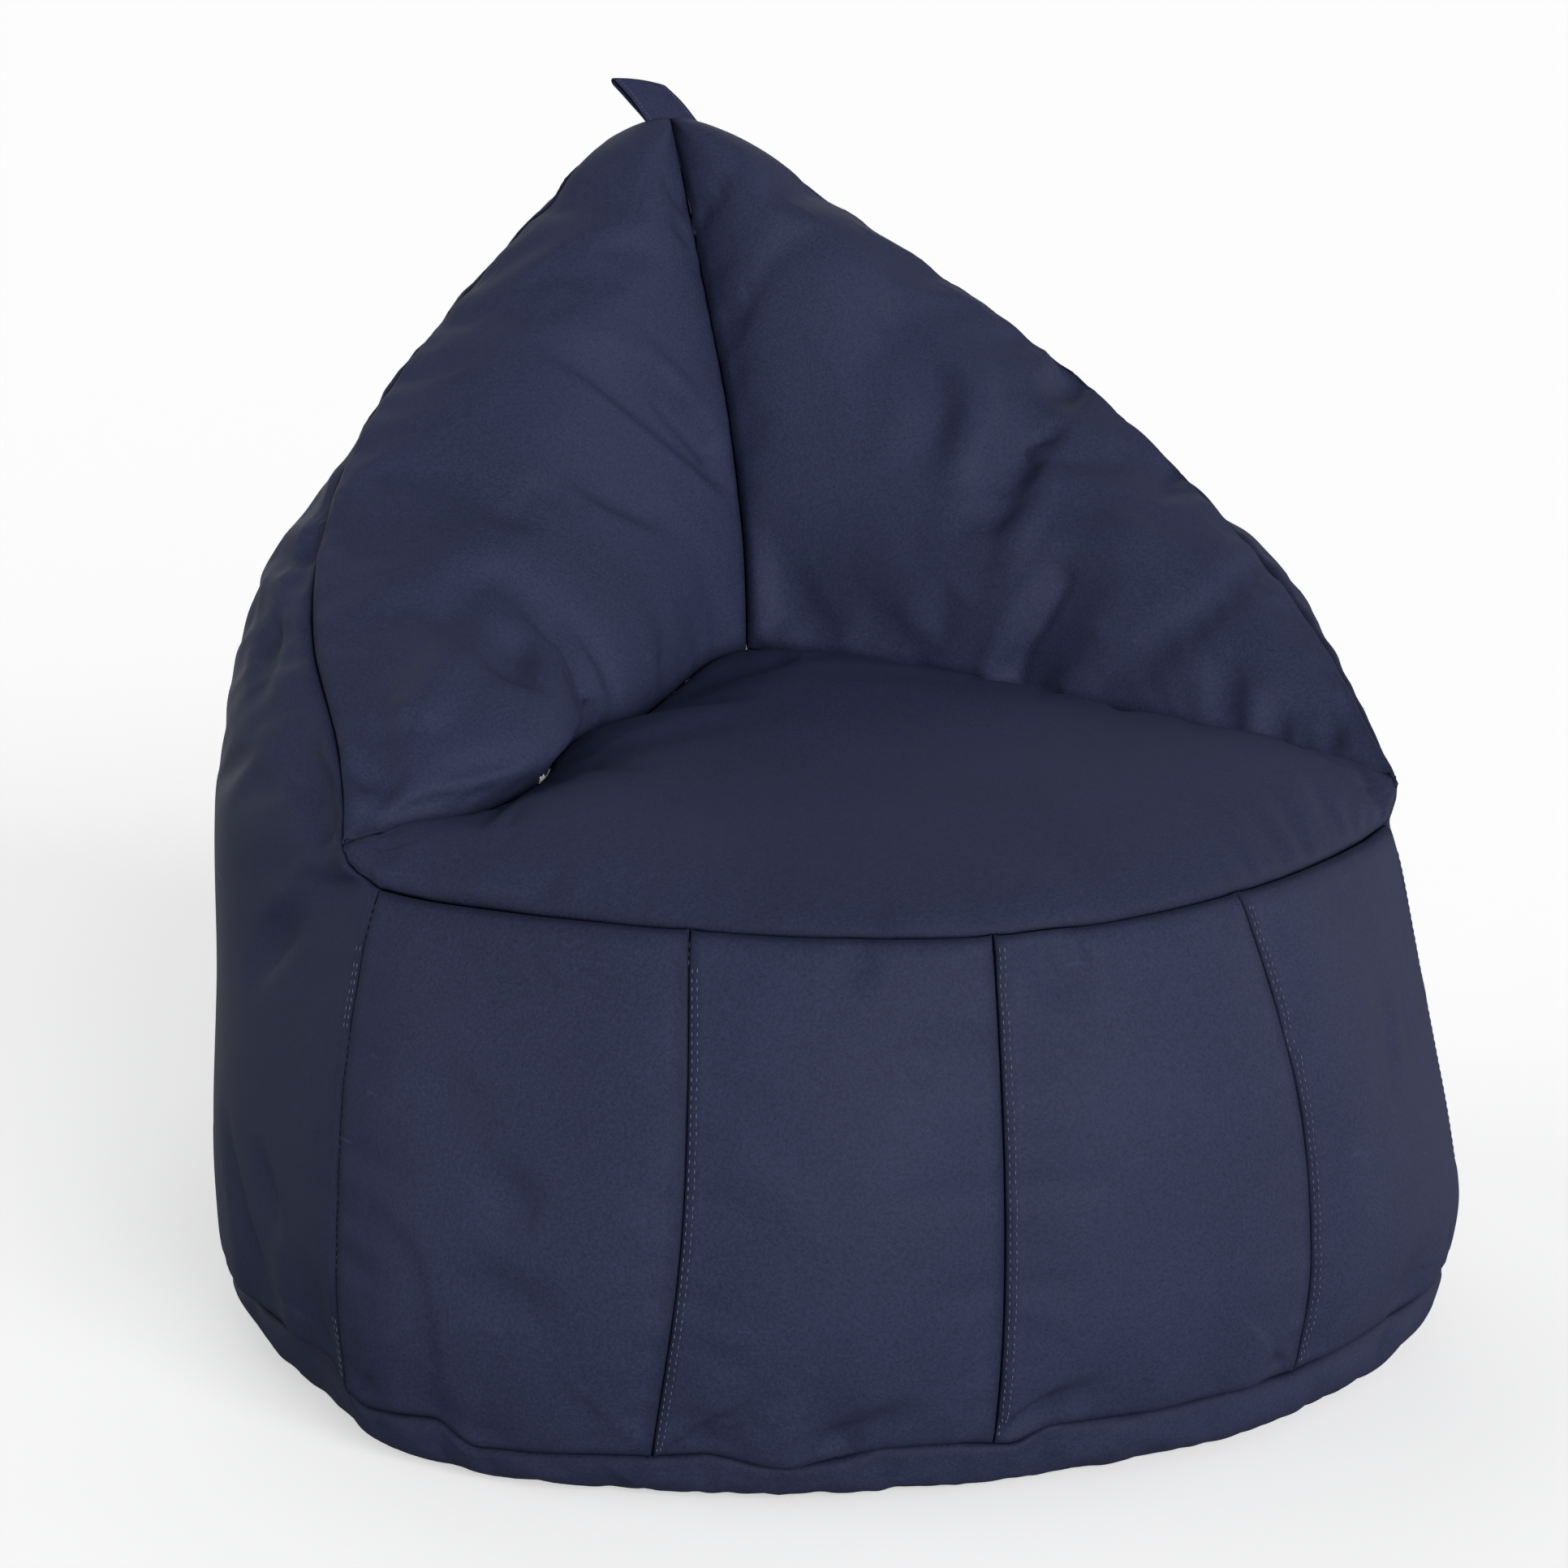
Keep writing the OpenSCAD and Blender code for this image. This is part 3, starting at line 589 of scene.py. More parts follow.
def seam_points(data):
    """Every point on a seam, with its normal and style evened out along the seam."""
    work = bmesh.new()
    work.from_mesh(data)
    work.normal_update()
    points = {}
    for v in work.verts:
        if len(panels_at(v)) > 1:
            style = dict(STYLES[seam_kind(panels_at(v))])
            past_peak = eased((v.co - PEAK).length / SHALLOW_PEAK)
            style["depth"] *= 0.2 + 0.8 * past_peak
            style["pucker"] *= past_peak
            points[v.index] = {
                "co": v.co.copy(), "normal": v.normal.copy(), "panels": panels_at(v), **style,
            }
    links = {}
    for edge in work.edges:
        a, b = edge.verts[0].index, edge.verts[1].index
        if is_seam(edge):
            links.setdefault(a, []).append(b)
            links.setdefault(b, []).append(a)
    for _ in range(4):
        for key in ("width", "depth", "pucker"):
            even = {
                i: (p[key] + sum(points[o][key] for o in links[i])) / (1 + len(links[i]))
                for i, p in points.items()
            }
            for i, value in even.items():
                points[i][key] = value
    for _ in range(8):
        even = {
            i: (p["normal"] + sum((points[o]["normal"] for o in links[i]), Vector())).normalized()
            for i, p in points.items()
        }
        for i, normal in even.items():
            points[i]["normal"] = normal
    work.free()
    return list(points.values())


seams = seam_points(cover.data)
print("seam points:", len(seams))

# %% [markdown]
# Each panel is now cut out of the skin as a piece of its own. A narrow inset along its edge
# gives the mesh the loop that a tight shoulder needs. The edge then sinks into the seam, and the
# cloth beside it puckers: the pucker is noise read at the nearest point of the seam, so that
# it runs straight across the seam, as real ones do.

# %% Cut out the panels
EDGE_LOOP = 1.3 * MM
ZIP_HALF_GAP = 3.4 * MM
ZIP_FOLD = 12 * MM
FELLED_STRIP = 11.5 * MM
FELLED_RISE = 0.7 * MM
# How far from a seam the painted seam shade reaches.
SHADED_REACH = 10 * MM
# A felled seam is stitched down on one of its two panels.
FELLED_ONTO = {
    frozenset({OUTER_L, WALL_1}): OUTER_L, frozenset({WALL_1, WALL_2}): WALL_2,
    frozenset({WALL_2, WALL_3}): WALL_3, frozenset({WALL_3, WALL_4}): WALL_4,
    frozenset({WALL_4, OUTER_R}): OUTER_R,
}


def cut_out(number):
    part = bmesh.new()
    part.from_mesh(cover.data)
    others = [f for f in part.faces if f.material_index != number]
    bmesh.ops.delete(part, geom=others, context="FACES")
    bmesh.ops.inset_region(part, faces=part.faces, thickness=EDGE_LOOP, use_boundary=True)
    for face in part.faces:
        face.material_index = 0
        face.smooth = True
    return part


def nearest_seam(number):
    points = [p for p in seams if number in p["panels"]]
    tree = tree_of([p["co"] for p in points])

    def find(place):
        _, i, distance = tree.find(place)
        return points[i], distance

    return find


def seam_shape(part, number):
    """Sinks the panel's edge into its seams, puckers the cloth beside them and marks how near each point is
    to a seam, for the painted seam shade.
    """
    find = nearest_seam(number)
    part.normal_update()
    beside = part.verts.layers.float.new("beside_seam")
    moves = {}
    for v in part.verts:
        seam, distance = find(v.co)
        move = Vector()
        if distance < seam["width"]:
            inside = 1 - distance / seam["width"]
            move -= seam["normal"] * seam["depth"] * (1 - math.sqrt(max(0, 1 - inside * inside)))
        if FELLED_ONTO.get(frozenset(seam["panels"])) == number:
            move += v.normal * FELLED_RISE * eased((FELLED_STRIP - distance) / (3 * MM))
        across = distance / seam["reach"]
        if across < 5 and not beside_zip(v.co):
            wave = noise.noise(seam["co"] / seam["wave"] + Vector((number * 7.3, 0, 0)))
            share = 0.5 if number == BASE else 2
            move += v.normal * seam["pucker"] * share * wave * across * math.exp(1 - across)
        moves[v] = move
        # A mask for the painted shade in the seam groove: 1 at the seam, 0 from 10 mm away.
        v[beside] = max(0, 1 - distance / SHADED_REACH)
    for v, move in moves.items():
        v.co += move


def open_for_zip(part, side):
    """Draws the panel's edge back from the rear centre line, so that the zip shows."""
    for v in part.verts:
        away = side * v.co.x
        if v.co.y > 0.3 and away < ZIP_FOLD:
            level = min(v.co.z - zip_low.z, zip_high.z - v.co.z)
            gap = ZIP_HALF_GAP * eased(level / (8 * MM))
            v.co.x = side * (gap + max(0, away) * (ZIP_FOLD - gap) / ZIP_FOLD)


panels = {}
for number, name in enumerate(COVER):
    part = cut_out(number)
    seam_shape(part, number)
    if number in OUTERS:
        open_for_zip(part, -1 if number == OUTER_L else 1)
    panels[number] = object_of(part, "cover_" + name)
    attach(panels[number], "bag")
    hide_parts(name)
    print(name, len(panels[number].data.polygons), "faces")

# %% [markdown]
# The weave of a cloth runs up and down its panel at one pitch everywhere. The flat layout gives
# the directions. It's brought to metres here, so that a weave is as fine on a large panel as on
# a small one, and it's turned until the panel's up is up in the layout. Its size is then the
# size that the panel was cut to.

# %% Lay each panel's weave in metres
def layout_in_metres(piece):
    """Scales and turns the panel's layout, and returns its width, length and area."""
    layout = piece.data.uv_layers.active.data
    flat_area = 0
    for polygon in piece.data.polygons:
        corners = [layout[i].uv for i in polygon.loop_indices]
        flat_area += sum(a.cross(b) for a, b in zip(corners, corners[1:] + corners[:1])) / 2
    area = sum(polygon.area for polygon in piece.data.polygons)
    scale = math.sqrt(area / abs(flat_area))
    places = [piece.data.vertices[loop.vertex_index].co for loop in piece.data.loops]
    middle = sum((Vector(corner.uv) for corner in layout), Vector((0, 0))) / len(layout)
    height = sum(place.z for place in places) / len(places)
    uphill = Vector((0, 0))
    for corner, place in zip(layout, places):
        uphill += (corner.uv - middle) * (place.z - height)
    turn = Matrix.Rotation(math.pi / 2 - math.atan2(uphill.y, uphill.x), 2)
    flip = Matrix.Diagonal((math.copysign(1, flat_area), 1))
    low, high = Vector((9, 9)), Vector((-9, -9))
    for corner in layout:
        corner.uv = flip @ turn @ (corner.uv - middle) * scale
        low = Vector(map(min, low, corner.uv))
        high = Vector(map(max, high, corner.uv))
    return high.x - low.x, high.y - low.y, area


cuts = {number: layout_in_metres(panel) for number, panel in panels.items()}
for number, (width, length, area) in cuts.items():
    size = f"{round(width / MM)} x {round(length / MM)}"
    print(COVER[number], "cut, mm:", size, "area m2:", round(area, 3))

# %% [markdown]
# The cloth is a little under a millimetre thick. Solidify grows it inwards, so the outside
# stays where the seams put it.

# %% Give the cloth its thickness
CANVAS_THICKNESS = 0.8 * MM


def thicken(piece, thickness, offset=-1):
    wall = piece.modifiers.new("thickness", "SOLIDIFY")
    wall.thickness = thickness
    wall.offset = offset
    return piece


for panel in panels.values():
    thicken(panel, CANVAS_THICKNESS)
surfaces = {number: surface_of([panel.data]) for number, panel in panels.items()}
print("panels:", len(panels))

# %% [markdown]
# The five front seams are topstitched: two rows, about six millimetres apart, on the panel that
# the seam allowance is pressed towards. Each stitch is a short bead of thread that lies on the
# cloth, so every stitch is placed on the panel's own surface and turned along the seam.

# %% Topstitching
STITCH_PITCH = 5.6 * MM
STITCH_ROWS = (3.6 * MM, 9.8 * MM)


def seam_line(panels_beside):
    """The places along one seam, from the hem up, evenly spaced."""
    points = sorted((p["co"] for p in seams if p["panels"] >= panels_beside), key=lambda co: co.z)
    line = [points[0]]
    for place in points[1:]:
        if (place - line[-1]).length >= 2 * MM:
            line.append(place)
    steps = [0]
    for a, b in zip(line, line[1:]):
        steps.append(steps[-1] + (b - a).length)
    even = []
    for k in range(int(steps[-1] / STITCH_PITCH)):
        goal = (k + 0.5) * STITCH_PITCH
        i = next(i for i, step in enumerate(steps) if step > goal)
        share = (goal - steps[i - 1]) / (steps[i] - steps[i - 1])
        even.append(line[i - 1].lerp(line[i], share))
    return even


def add_stitch(thread, place, along, normal, length=3.7 * MM, width=0.8 * MM):
    across = normal.cross(along).normalized()
    turned = Matrix((across, along.normalized(), normal)).transposed().to_4x4()
    size = Matrix.Diagonal((width / 2, length / 2, width / 2.4, 1))
    bmesh.ops.create_icosphere(thread, subdivisions=1, radius=1,
                               matrix=Matrix.Translation(place) @ turned @ size)


def topstitch(name, rows_on):
    """One object with both rows of stitches beside one seam."""
    thread = bmesh.new()
    panels_beside, onto = rows_on
    line = seam_line(panels_beside)
    places = [v.co for v in panels[onto].data.vertices]
    middle = sum(places, Vector()) / len(places)
    for k in range(1, len(line) - 1):
        along = line[k + 1] - line[k - 1]
        _, normal, _, _ = surfaces[onto].find_nearest(line[k])
        across = normal.cross(along).normalized()
        if across.dot(middle - line[k]) < 0:
            across = -across
        for row in STITCH_ROWS:
            place, normal, _, _ = surfaces[onto].find_nearest(line[k] + across * row)
            add_stitch(thread, place + normal * 0.15 * MM, along, normal)
    rows = object_of(thread, name, smooth=True)
    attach(rows, "bag")
    return rows


stitches = [
    topstitch(f"topstitching_{k + 1}", rows_on) for k, rows_on in enumerate(FELLED_ONTO.items())
]
print("topstitching:", [len(piece.data.polygons) // 20 for piece in stitches], "stitches")

# %% [markdown]
# Under the cover is a white liner that holds the beads, with a zip of its own. It has the
# cover's shape, a little smaller, so it's made from the copy of the coarser skin: the same
# folds are drawn in it, and every point goes inwards along its normal, and further in near a
# seam, where the cover sinks. It's then smoothed, and any point left too close to the cover is
# moved in. The beads are the same again, further in. They are one solid here, which stands for
# millions of loose ones.

# %% The liner and the beads
LINER_DEPTH = 15 * MM
BEAD_DEPTH = 24 * MM
LINER_GAP = 6 * MM
BEAD_GAP = 3 * MM
SEAM_PULL = 18 * MM
PULL_REACH = 40 * MM
LINER_THICKNESS = 0.3 * MM


def keep_inside(work, around, gap):
    """Moves each point that is outside the surface, or closer to it than the gap, inwards."""
    moved = 0
    for v in work.verts:
        place, normal, _, _ = around.find_nearest(v.co)
        if (v.co - place).dot(normal) > -gap:
            v.co = place - normal * gap
            moved += 1
    return moved


def inner_copy(name, depth, around, gap):
    piece = inner_skin.copy()
    piece.data = inner_skin.data.copy()
    piece.name = piece.data.name = name
    bpy.context.scene.collection.objects.link(piece)
    fold_cloth(piece.data, FOLDS)
    work = bmesh.new()
    work.from_mesh(piece.data)
    work.normal_update()
    outside = BVHTree.FromBMesh(work)
    moves = []
    for v in work.verts:
        _, _, _, room = outside.ray_cast(v.co - v.normal * 1 * MM, -v.normal)
        moves.append((v, v.normal * min(depth, 0.4 * (room or 1))))
    for v, move in moves:
        v.co -= move
        v.co.z = max(v.co.z, depth * 0.9)
    near_seam = tree_of([p["co"] for p in seams])
    for v in work.verts:
        _, i, distance = near_seam.find(v.co)
        if seams[i]["panels"] != OUTERS and distance < PULL_REACH:
            v.co -= seams[i]["normal"] * SEAM_PULL * eased(1 - distance / PULL_REACH)
    for _ in range(3):
        bmesh.ops.smooth_vert(work, verts=work.verts, factor=0.5,
                              use_axis_x=True, use_axis_y=True, use_axis_z=True)
        moved = keep_inside(work, around, gap)
    print(name, "points moved in:", moved)
    for face in work.faces:
        face.smooth = True
        face.material_index = 0
    work.to_mesh(piece.data)
    work.free()
    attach(piece, "bag")
    return piece


def slit_liner(piece):
    """Opens the liner along its rear centre line, where its zip is."""
    low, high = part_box("liner_zip_tape_left")
    work = bmesh.new()
    work.from_mesh(piece.data)
    centre = [
        e for e in work.edges
        if all(abs(v.co.x) < 0.5 * MM and v.co.y > 0.3 and low.z < v.co.z < high.z for v in e.verts)
    ]
    bmesh.ops.split_edges(work, edges=centre)
    for v in work.verts:
        if v.is_boundary:
            side = math.copysign(1, sum(f.calc_center_median().x for f in v.link_faces))
            v.co.x = side * ZIP_HALF_GAP
    work.to_mesh(piece.data)
    work.free()
    return len(centre)


whole_cover = surface_of([panel.data for panel in panels.values()])
liner = inner_copy("liner", LINER_DEPTH, whole_cover, LINER_GAP)
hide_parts("liner_bag")
print("edges opened for the liner's zip:", slit_liner(liner))
thicken(liner, LINER_THICKNESS)
beads = inner_copy("beads", BEAD_DEPTH, surface_of([liner.data]), BEAD_GAP)
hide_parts("bead_fill")
for working_copy in (inner_skin, cover):
    bpy.data.objects.remove(working_copy)

# %% [markdown]
# The carry handle is a strap folded into a loop. A strap is a flat grid bent along a path: up
# the front, round the top and down the back. The grid's long side becomes the path and its
# short side stays the strap's width. The loop leans back and slants to one side, and its lower
# ends go down into the seams at the peak.

# %% The carry handle
STRAP_WIDTH = 41 * MM
STRAP_THICKNESS = 1.5 * MM
ROOT = Vector((-12, 414, 836)) * MM
LOOP_HEIGHT = 45 * MM
LOOP_HALF_GAP = 3.2 * MM
SUNK = 12 * MM
LEAN = math.radians(44)
SLANT = math.radians(11)
LEAN_UP = Vector((0, math.sin(LEAN), math.cos(LEAN)))


def loop_path(share):
    """Place and direction on the loop, in a flat frame of depth and height, from end to end."""
    straight = LOOP_HEIGHT + SUNK - LOOP_HALF_GAP
    bend = math.pi * LOOP_HALF_GAP
    along = share * (2 * straight + bend)
    if along < straight or along > straight + bend:
        front = along < straight
        height = along - SUNK if front else 2 * straight + bend - along - SUNK
        spread = LOOP_HALF_GAP * (0.35 + 0.65 * eased(height / (0.6 * LOOP_HEIGHT)))
        return (-spread if front else spread), height
    angle = (along - straight) / LOOP_HALF_GAP
    centre = LOOP_HEIGHT - LOOP_HALF_GAP
    return -LOOP_HALF_GAP * math.cos(angle), centre + LOOP_HALF_GAP * math.sin(angle)


def in_loop(across, share, lift=0.0):
    """A place on the strap: across it from -1 to 1, along it from 0 to 1."""
    depth, height = loop_path(share)
    ahead, above = loop_path(min(1, share + 0.002))
    behind, below = loop_path(max(0, share - 0.002))
    run, rise = ahead - behind, above - below
    size = math.hypot(run, rise)
    depth, height = depth - rise / size * lift, height + run / size * lift
    x = across * STRAP_WIDTH / 2
    up = height / LOOP_HEIGHT
    curl = 2.5 * MM * up * across * across
    sag = -math.tan(SLANT) * x * up
    back = (depth + curl) * math.cos(LEAN) + (height + sag) * math.sin(LEAN)
    top = -(depth + curl) * math.sin(LEAN) + (height + sag) * math.cos(LEAN)
    return ROOT + Vector((x - 22 * MM * up * (0.75 + 0.25 * up), back, top))


strap = bmesh.new()
bmesh.ops.create_grid(strap, x_segments=12, y_segments=90, size=1, calc_uvs=True)
for v in strap.verts:
    v.co = in_loop(v.co.x, (v.co.y + 1) / 2)
handle = object_of(strap, "carry_loop", smooth=True)
thicken(handle, STRAP_THICKNESS, 0)
rounded = handle.modifiers.new("round edges", "BEVEL")
rounded.width = 0.5 * MM
rounded.segments = 2
rounded.limit_method = "ANGLE"


def across_the_flop(piece):
    """The sewn end stays in the peak, and the rest of the loop turns with the handle."""
    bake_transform(piece, "bag", "handle", ROOT - 1 * MM * LEAN_UP, ROOT + 9 * MM * LEAN_UP)


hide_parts("carry_handle")
thread = bmesh.new()
for across in (-0.84, 0.84):
    for k in range(4, 37):
        share = k / 40
        if abs(share - 0.5) > 0.035:
            place = in_loop(across, share, STRAP_THICKNESS / 2 + 0.1 * MM)
            ahead = in_loop(across, share + 0.004, STRAP_THICKNESS / 2 + 0.1 * MM)
            outward = (in_loop(across, share, 2 * MM) - in_loop(across, share)).normalized()
            add_stitch(thread, place, ahead - place, outward, 2.4 * MM, 0.6 * MM)
handle_thread = object_of(thread, "carry_loop_stitching", smooth=True)
for piece in (handle, handle_thread):
    across_the_flop(piece)
print("handle:", len(handle.data.polygons), "faces")

# %% [markdown]
# A coil zip is a nylon wire wound into a coil along each tape. Seen from outside it's a row of
# short round bars, so each turn is one small round bar, flattened, and the two rows lie half
# a pitch apart. They replace the plain strips of the frame.

# %% The teeth of the zips
TOOTH_PITCH = 1.4 * MM


def coil_teeth(node, name):
    low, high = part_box(node)
    side = -1 if high.x < 0 else 1
    teeth = bmesh.new()
    count = int((high.z - low.z) / TOOTH_PITCH)
    inner, outer = 0.5 * MM, 2.8 * MM
    middle = Vector((side * (inner + outer) / 2, (low.y + high.y) / 2, 0))
    for k in range(count):
        z = low.z + (k + (0.25 if side < 0 else 0.75)) * TOOTH_PITCH
        size = Matrix.Diagonal((0.42 * MM, (high.y - low.y) / 2 * 0.92, outer - inner, 1))
        turned = Matrix.Rotation(math.radians(90), 4, "Y")
        lean = Matrix.Rotation(math.radians(8 * side), 4, "Y")
        bmesh.ops.create_cone(
            teeth, cap_ends=True, segments=8, radius1=1, radius2=0.8, depth=1,
            matrix=Matrix.Translation(middle + Vector((0, 0, z))) @ lean
            @ (turned if side > 0 else turned.inverted()) @ size.copy(),
        )
    for face in teeth.faces:
        face.smooth = len(face.verts) == 4
    piece = object_of(teeth, name)
    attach(piece, "bag")
    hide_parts(node)
    return piece


coils = [
    coil_teeth(f"{which}_zip_coil_{side}", f"{which}_zip_teeth_{side}")
    for which, slot in (("cover", "zip_navy"), ("liner", "liner_white")) for side in ("left", "right")
]
print("turns in each coil:", [len(piece.data.polygons) // 10 for piece in coils])

# %% [markdown]
# A slider is a small casting: a plate over the teeth and one under them, joined by a bridge
# between the rows. Its top plate is rounded and narrower below, with an arch that holds the
# pull tab. Plates are cubes with their corners bevelled, which is how small castings look.

# %% The zips' sliders and pull tabs
def rounded_plate(work, low, high, round_by, narrow_below=1.0):
    """A plate with rounded corners between two corners in millimetres."""
    low, high = Vector(low), Vector(high)
    made = bmesh.ops.create_cube(work, size=1, matrix=Matrix.Translation((low + high) / 2 * MM)
                                 @ Matrix.Diagonal(((high - low) * MM).to_4d()))
    for v in made["verts"]:
        if v.co.z < (low.z + high.z) / 2 * MM:
            v.co.x = (low.x + high.x) / 2 * MM + (v.co.x - (low.x + high.x) / 2 * MM) * narrow_below
    edges = list({e for v in made["verts"] for e in v.link_edges})
    bmesh.ops.bevel(work, geom=edges, offset=round_by * MM, segments=2, profile=0.5,
                    affect="EDGES", material=-1, clamp_overlap=True)


def slider(node, name, body):
    low, high = (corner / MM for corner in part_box(node))
    work = bmesh.new()
    plate = 1.1
    top = high.y - 1.6
    rounded_plate(work, (low.x, top - plate, low.z), (high.x, top, high.z), 0.5, 0.72)
    rounded_plate(work, (low.x, low.y, low.z), (high.x, low.y + plate, high.z), 0.4, 0.72)
    rounded_plate(work, (-0.4, low.y + 0.3, low.z + 3.5), (0.4, top - 0.3, high.z - 3.5), 0.1)
    for z in (low.z + 3.4, high.z - 4.6):
        rounded_plate(work, (-1.1, top - 0.3, z), (1.1, top + 1.2, z + 1.2), 0.3)
    rounded_plate(work, (-1.1, top + 0.7, low.z + 3.4), (1.1, top + 1.5, high.z - 3.4), 0.3)
    casting = object_of(work, name, smooth=True)
    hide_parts(node)

    work = bmesh.new()
    ring_z = low.z + 5.4
    for x in (-1.9, 1.2):
        rounded_plate(work, (x, top + 0.15, ring_z - 6), (x + 0.7, top + 0.75, ring_z + 1), 0.25)
    rounded_plate(work, (-1.9, top + 0.15, ring_z + 0.3), (1.9, top + 0.65, ring_z + 1), 0.2)
    rounded_plate(work, (-2.3, top + 0.15, ring_z - 22), (2.3, top + 1.05, ring_z - 5.4), 0.4)
    tab = object_of(work, name + "_pull_tab", smooth=True)
    for piece in (casting, tab):
        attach(piece, body)
    return casting, tab


sliders = [
    *slider("cover_zip_slider", "cover_slider_casting", "cover_slider"),
    *slider("liner_zip_slider", "liner_slider_casting", "liner_slider"),
]
print("slider pieces:", [piece.name for piece in sliders])

# %% [markdown]
# Canvas is a plain weave: threads cross over and under at a pitch of under a millimetre. Two
# sine waves multiplied give that grid of small crowns, and it goes into the bump. Colour comes
# from noise at three scales: dye mottling over hands' breadths, the grain of single threads,
# and a few faint scuffs, which are noise stretched into streaks. Painted shade darkens the colour
# beside the seams, where the panels carry their own mark, for the shade in the seam grooves.

# %% Cloth materials
CLOTH_SPECULAR = 0.12


class Finish:
    """A new material, with short ways to add nodes to it and to fill their sockets."""

    def __init__(self, name):
        self.material = bpy.data.materials.new(name)
        self.material.use_nodes = True
        self.tree = self.material.node_tree
        self.shader = self.tree.nodes["Principled BSDF"]
        self.where = self.add("TexCoord").outputs

    def fill(self, node, values):
        """Fills sockets with plain values, or links them to other nodes' outputs."""
        for name, value in values.items():
            if isinstance(value, bpy.types.NodeSocket):
                self.tree.links.new(value, node.inputs[name])
            else:
                node.inputs[name].default_value = value

    def add(self, kind, values=None, **settings):
        made = self.tree.nodes.new("ShaderNode" + kind)
        for key, value in settings.items():
            setattr(made, key, value)
        self.fill(made, values or {})
        return made

    def calc(self, operation, a, b):
        return self.add("Math", {0: a, 1: b}, operation=operation).outputs[0]

    def varied(self, noise_output, size):
        """Noise from 0 to 1 as a change of that size about zero."""
        return self.calc("MULTIPLY", self.calc("SUBTRACT", noise_output, 0.5), size)

    def noise(self, scale, detail, stretch=(1, 1, 1), turn=(0, 0, 0)):
        place = self.add("Mapping", {"Vector": self.where["Object"], "Scale": stretch, "Rotation": turn})
        values = {"Vector": place.outputs[0], "Scale": scale, "Detail": detail}
        return self.add("TexNoise", values).outputs["Fac"]

    def span(self, value, low, high):
        """0 up to the low end, 1 from the high end."""
        return self.add("MapRange", {"Value": value, "From Min": low, "From Max": high}).outputs[0]

    def bump(self, height, strength, distance):
        made = self.add("Bump", {"Height": height, "Strength": strength, "Distance": distance})
        self.fill(self.shader, {"Normal": made.outputs["Normal"]})


def cloth(name, colour, pitch, roughness, sheen=0.0, mottle=0.20, grain=0.28, scuffs=0.0,
          painted_seam_shade=0.0):
    new = Finish(name)
    crowns = []
    for direction in ("X", "Y"):
        # A wave texture has 20 / (2 pi) bands to the unit at a scale of 1.
        values = {"Scale": 2 * math.pi / (20 * 2 * pitch), "Distortion": 0, "Vector": new.where["UV"]}
        wave = new.add("TexWave", values, bands_direction=direction, wave_profile="SIN")
        crowns.append(new.calc("SUBTRACT", wave.outputs["Fac"], 0.5))
    weave = new.calc("MULTIPLY", *crowns)
    thread_grain, fine, broad = new.noise(950, 2), new.noise(480, 2), new.noise(7, 4)
    shade = new.calc("ADD", new.varied(broad, 2 * mottle), new.varied(thread_grain, 2 * grain))
    shade = new.calc("ADD", shade, new.varied(fine, 3 * grain))
    shade = new.calc("ADD", shade, new.calc("MULTIPLY", weave, grain))
    shade = new.calc("ADD", shade, 1.0)
    if scuffs:
        streak = new.span(new.noise(26, 3, (1, 1, 5), (0.5, 0.3, 0.2)), 0.69, 0.76)
        patch = new.span(new.noise(5, 1, (1, 1, 1), (0.9, 0, 0.4)), 0.5, 0.62)
        worn = new.calc("MULTIPLY", streak, patch)
        shade = new.calc("ADD", shade, new.calc("MULTIPLY", worn, scuffs))
    # Painted shade: the colour darkens beside the seams, for the shade that falls in the seam grooves.
    if painted_seam_shade:
        beside = new.add("Attribute", attribute_name="beside_seam").outputs["Fac"]
        dark = new.calc("MULTIPLY", beside, -painted_seam_shade)
        shade = new.calc("MULTIPLY", shade, new.calc("ADD", dark, 1.0))
    gray = new.add("CombineColor", {0: shade, 1: shade, 2: shade})
    tint = new.add("Mix", data_type="RGBA", blend_type="MULTIPLY")
    new.fill(tint, {"Factor": 1, "A": (*colour, 1), "B": gray.outputs[0]})
    new.fill(new.shader, {
        "Base Color": tint.outputs["Result"],
        "Roughness": new.calc("ADD", new.varied(fine, 0.16), roughness),
        "Specular IOR Level": CLOTH_SPECULAR,
        "Sheen Weight": sheen, "Sheen Roughness": 0.45, "Sheen Tint": (0.75, 0.8, 1.0, 1),
    })
    height = new.calc("ADD", new.calc("MULTIPLY", weave, 1.2), new.calc("MULTIPLY", thread_grain, 0.5))
    height = new.calc("ADD", height, new.calc("MULTIPLY", new.noise(90, 3), 0.9))
    new.bump(height, 0.55, 0.35 * MM)
    return new.material


def dress(pieces, material):
    for piece in pieces:
        piece.data.materials.clear()
        piece.data.materials.append(material)


NAVY = (0.030, 0.036, 0.080)
canvas = cloth("navy canvas", NAVY, 0.9 * MM, 0.62, scuffs=0.6, painted_seam_shade=0.35)
thread_navy = cloth("navy thread", (0.12, 0.13, 0.2), 0.4 * MM, 0.55)
strap_cloth = cloth("navy strap", (0.027, 0.032, 0.072), 0.9 * MM, 0.62)
tape_cloth = cloth("navy zip tape", (0.02, 0.024, 0.05), 0.6 * MM, 0.6)
liner_cloth = cloth("white liner", (0.78, 0.77, 0.73), 0.5 * MM, 0.7, 0.1, mottle=0.03, grain=0.05)
dress(panels.values(), canvas)
dress([*stitches, handle_thread], thread_navy)
dress([handle], strap_cloth)
dress([liner, nodes["liner_zip_tape_left"], nodes["liner_zip_tape_right"]], liner_cloth)
dress([nodes["cover_zip_tape_left"], nodes["cover_zip_tape_right"]], tape_cloth)
print("cloths:", [m.name for m in (canvas, thread_navy, strap_cloth, tape_cloth, liner_cloth)])
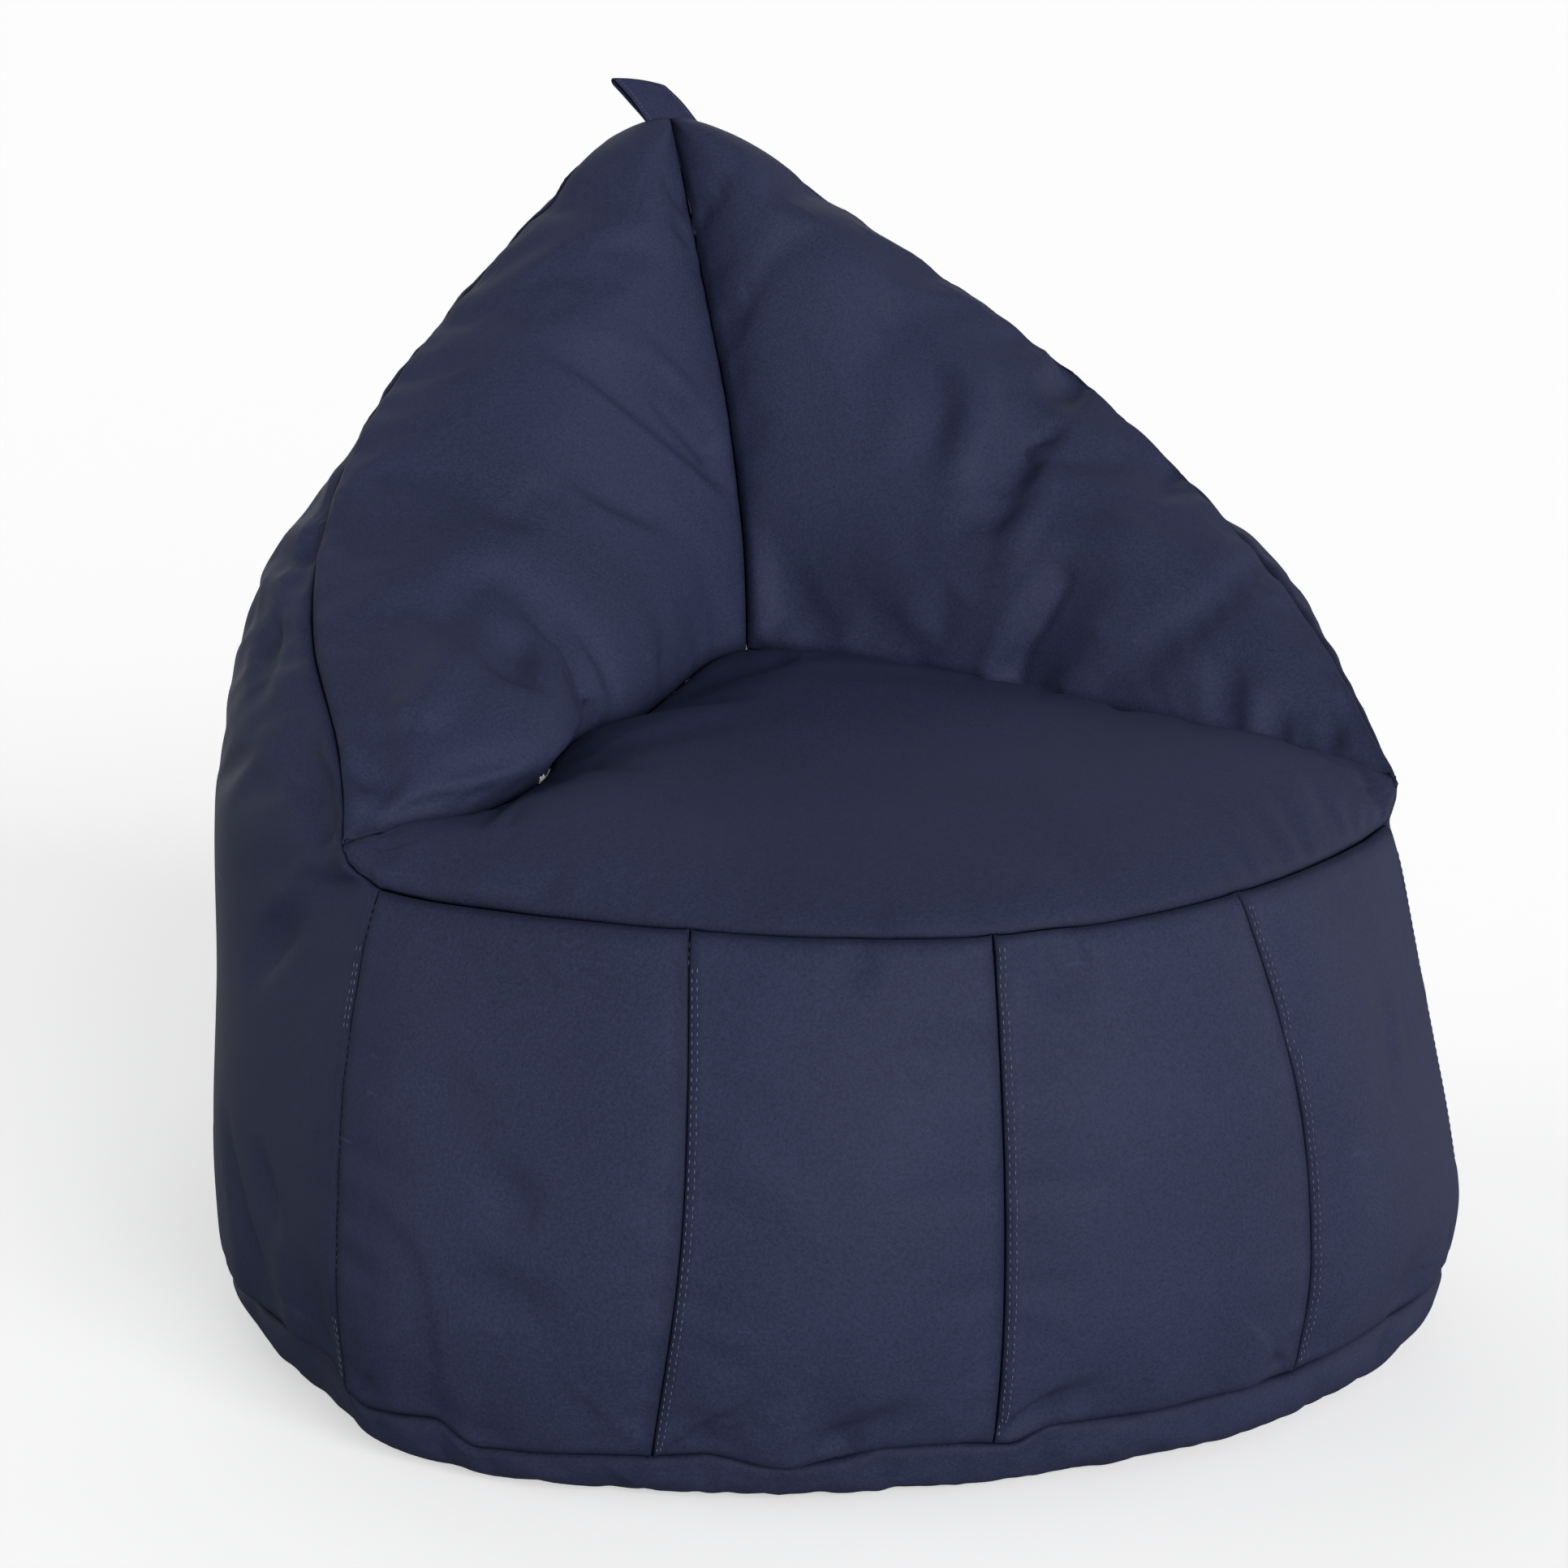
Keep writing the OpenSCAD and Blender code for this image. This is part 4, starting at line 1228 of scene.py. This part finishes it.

# %% [markdown]
# The zips need two harder finishes. Nylon is smooth and a little shiny, with fine lines from
# drawing it. The sliders and stops are painted metal, which wears to a duller grey in spots.
# The beads are small white balls of foam, and cells of a Voronoi texture look like them when
# their distance goes into the bump. Their white greys towards each cell's edge: painted shade in
# the gaps between the beads.

# %% Zip and bead materials
BEAD_SIZE = 4.5 * MM


def ramp_between(new, value, ends):
    """Two colours, each with the place on the ramp where it is reached."""
    ramp = new.add("ValToRGB", {"Fac": value})
    for element, (position, colour) in zip(ramp.color_ramp.elements, ends):
        element.position = position
        element.color = (*colour, 1)
    return ramp.outputs["Color"]


def hard(name, colour, worn, roughness, metallic, scale):
    new = Finish(name)
    values = {"Scale": scale, "Detail": 4, "Vector": new.where["Object"]}
    spots = new.add("TexNoise", values).outputs["Fac"]
    values = {"Value": spots, "To Min": roughness - 0.08, "To Max": roughness + 0.12}
    new.fill(new.shader, {
        "Base Color": ramp_between(new, spots, ((0.45, colour), (0.75, worn))),
        "Roughness": new.add("MapRange", values).outputs[0],
        "Metallic": metallic,
    })
    new.bump(spots, 0.3, 0.03 * MM)
    return new.material


def bead_material():
    new = Finish("foam beads")
    values = {"Scale": 1 / BEAD_SIZE, "Vector": new.where["Object"]}
    distance = new.add("TexVoronoi", values).outputs["Distance"]
    # Painted shade: the colour goes from white at a cell's middle to grey at its edge, for the shade between
    # beads.
    ends = ((0.35, (0.93, 0.93, 0.91)), (1, (0.55, 0.55, 0.54)))
    new.fill(new.shader, {"Base Color": ramp_between(new, distance, ends), "Roughness": 0.75})
    new.bump(new.calc("SUBTRACT", 1, distance), 1, 2 * MM)
    return new.material


nylon = hard("navy nylon", (0.018, 0.022, 0.045), (0.03, 0.036, 0.065), 0.35, 0, 900)
nylon_white = hard("white nylon", (0.75, 0.75, 0.72), (0.82, 0.82, 0.8), 0.35, 0, 900)
painted = hard("painted slider", (0.03, 0.034, 0.05), (0.16, 0.17, 0.19), 0.38, 0.6, 500)
dress(coils[:2], nylon)
dress(coils[2:], nylon_white)
dress(sliders, painted)
stops = [f"{which}_zip_{end}_stop" for which in ("cover", "liner") for end in ("top", "bottom")]
dress([nodes[name] for name in stops], painted)
dress([beads], bead_material())
print("zip finishes:", nylon.name, nylon_white.name, painted.name)

# %% [markdown]

# %% [markdown]
# The floor is a wide pale plane. A broad key light comes from the front at a low angle, so the
# drum's front is brighter than the seat. Weaker lights fill the sides and the back, and the
# world is an even white. The paper glows a little, as lit paper does, but sends no light
# back up, or the dark cloth would lose its shade near the floor.

# %% Floor and lights
floor_mesh = bmesh.new()
bmesh.ops.create_grid(floor_mesh, x_segments=1, y_segments=1, size=200)
floor = object_of(floor_mesh, "floor")
paper = Finish("pale paper")
paper.fill(paper.shader, {
    "Base Color": (0.9, 0.9, 0.9, 1), "Roughness": 0.9, "Specular IOR Level": 0,
    "Emission Color": (1, 1, 1, 1), "Emission Strength": 0.48,
})
dress([floor], paper.material)
floor.visible_diffuse = floor.visible_glossy = False


def sun(name, turn, height, energy, spread):
    """A sun that shines from an angle to the right of the front, and from a height, in degrees."""
    light = bpy.data.lights.new(name, "SUN")
    light.energy = energy
    light.angle = math.radians(spread)
    lamp = bpy.data.objects.new(name, light)
    lamp.rotation_euler = (math.radians(90 - height), 0, math.radians(turn))
    bpy.context.scene.collection.objects.link(lamp)


sun("key", 12, 13, 3.15, 45)
sun("left fill", -100, 8, 1.1, 60)
sun("right fill", 95, 8, 0.7, 60)
sun("back fill", 180, 12, 1.0, 60)
world = bpy.data.worlds.new("white room")
world.use_nodes = True
world.node_tree.nodes["Background"].inputs["Color"].default_value = (1, 1, 1, 1)
world.node_tree.nodes["Background"].inputs["Strength"].default_value = 0.13
bpy.context.scene.world = world
bpy.context.scene.view_settings.view_transform = "Standard"
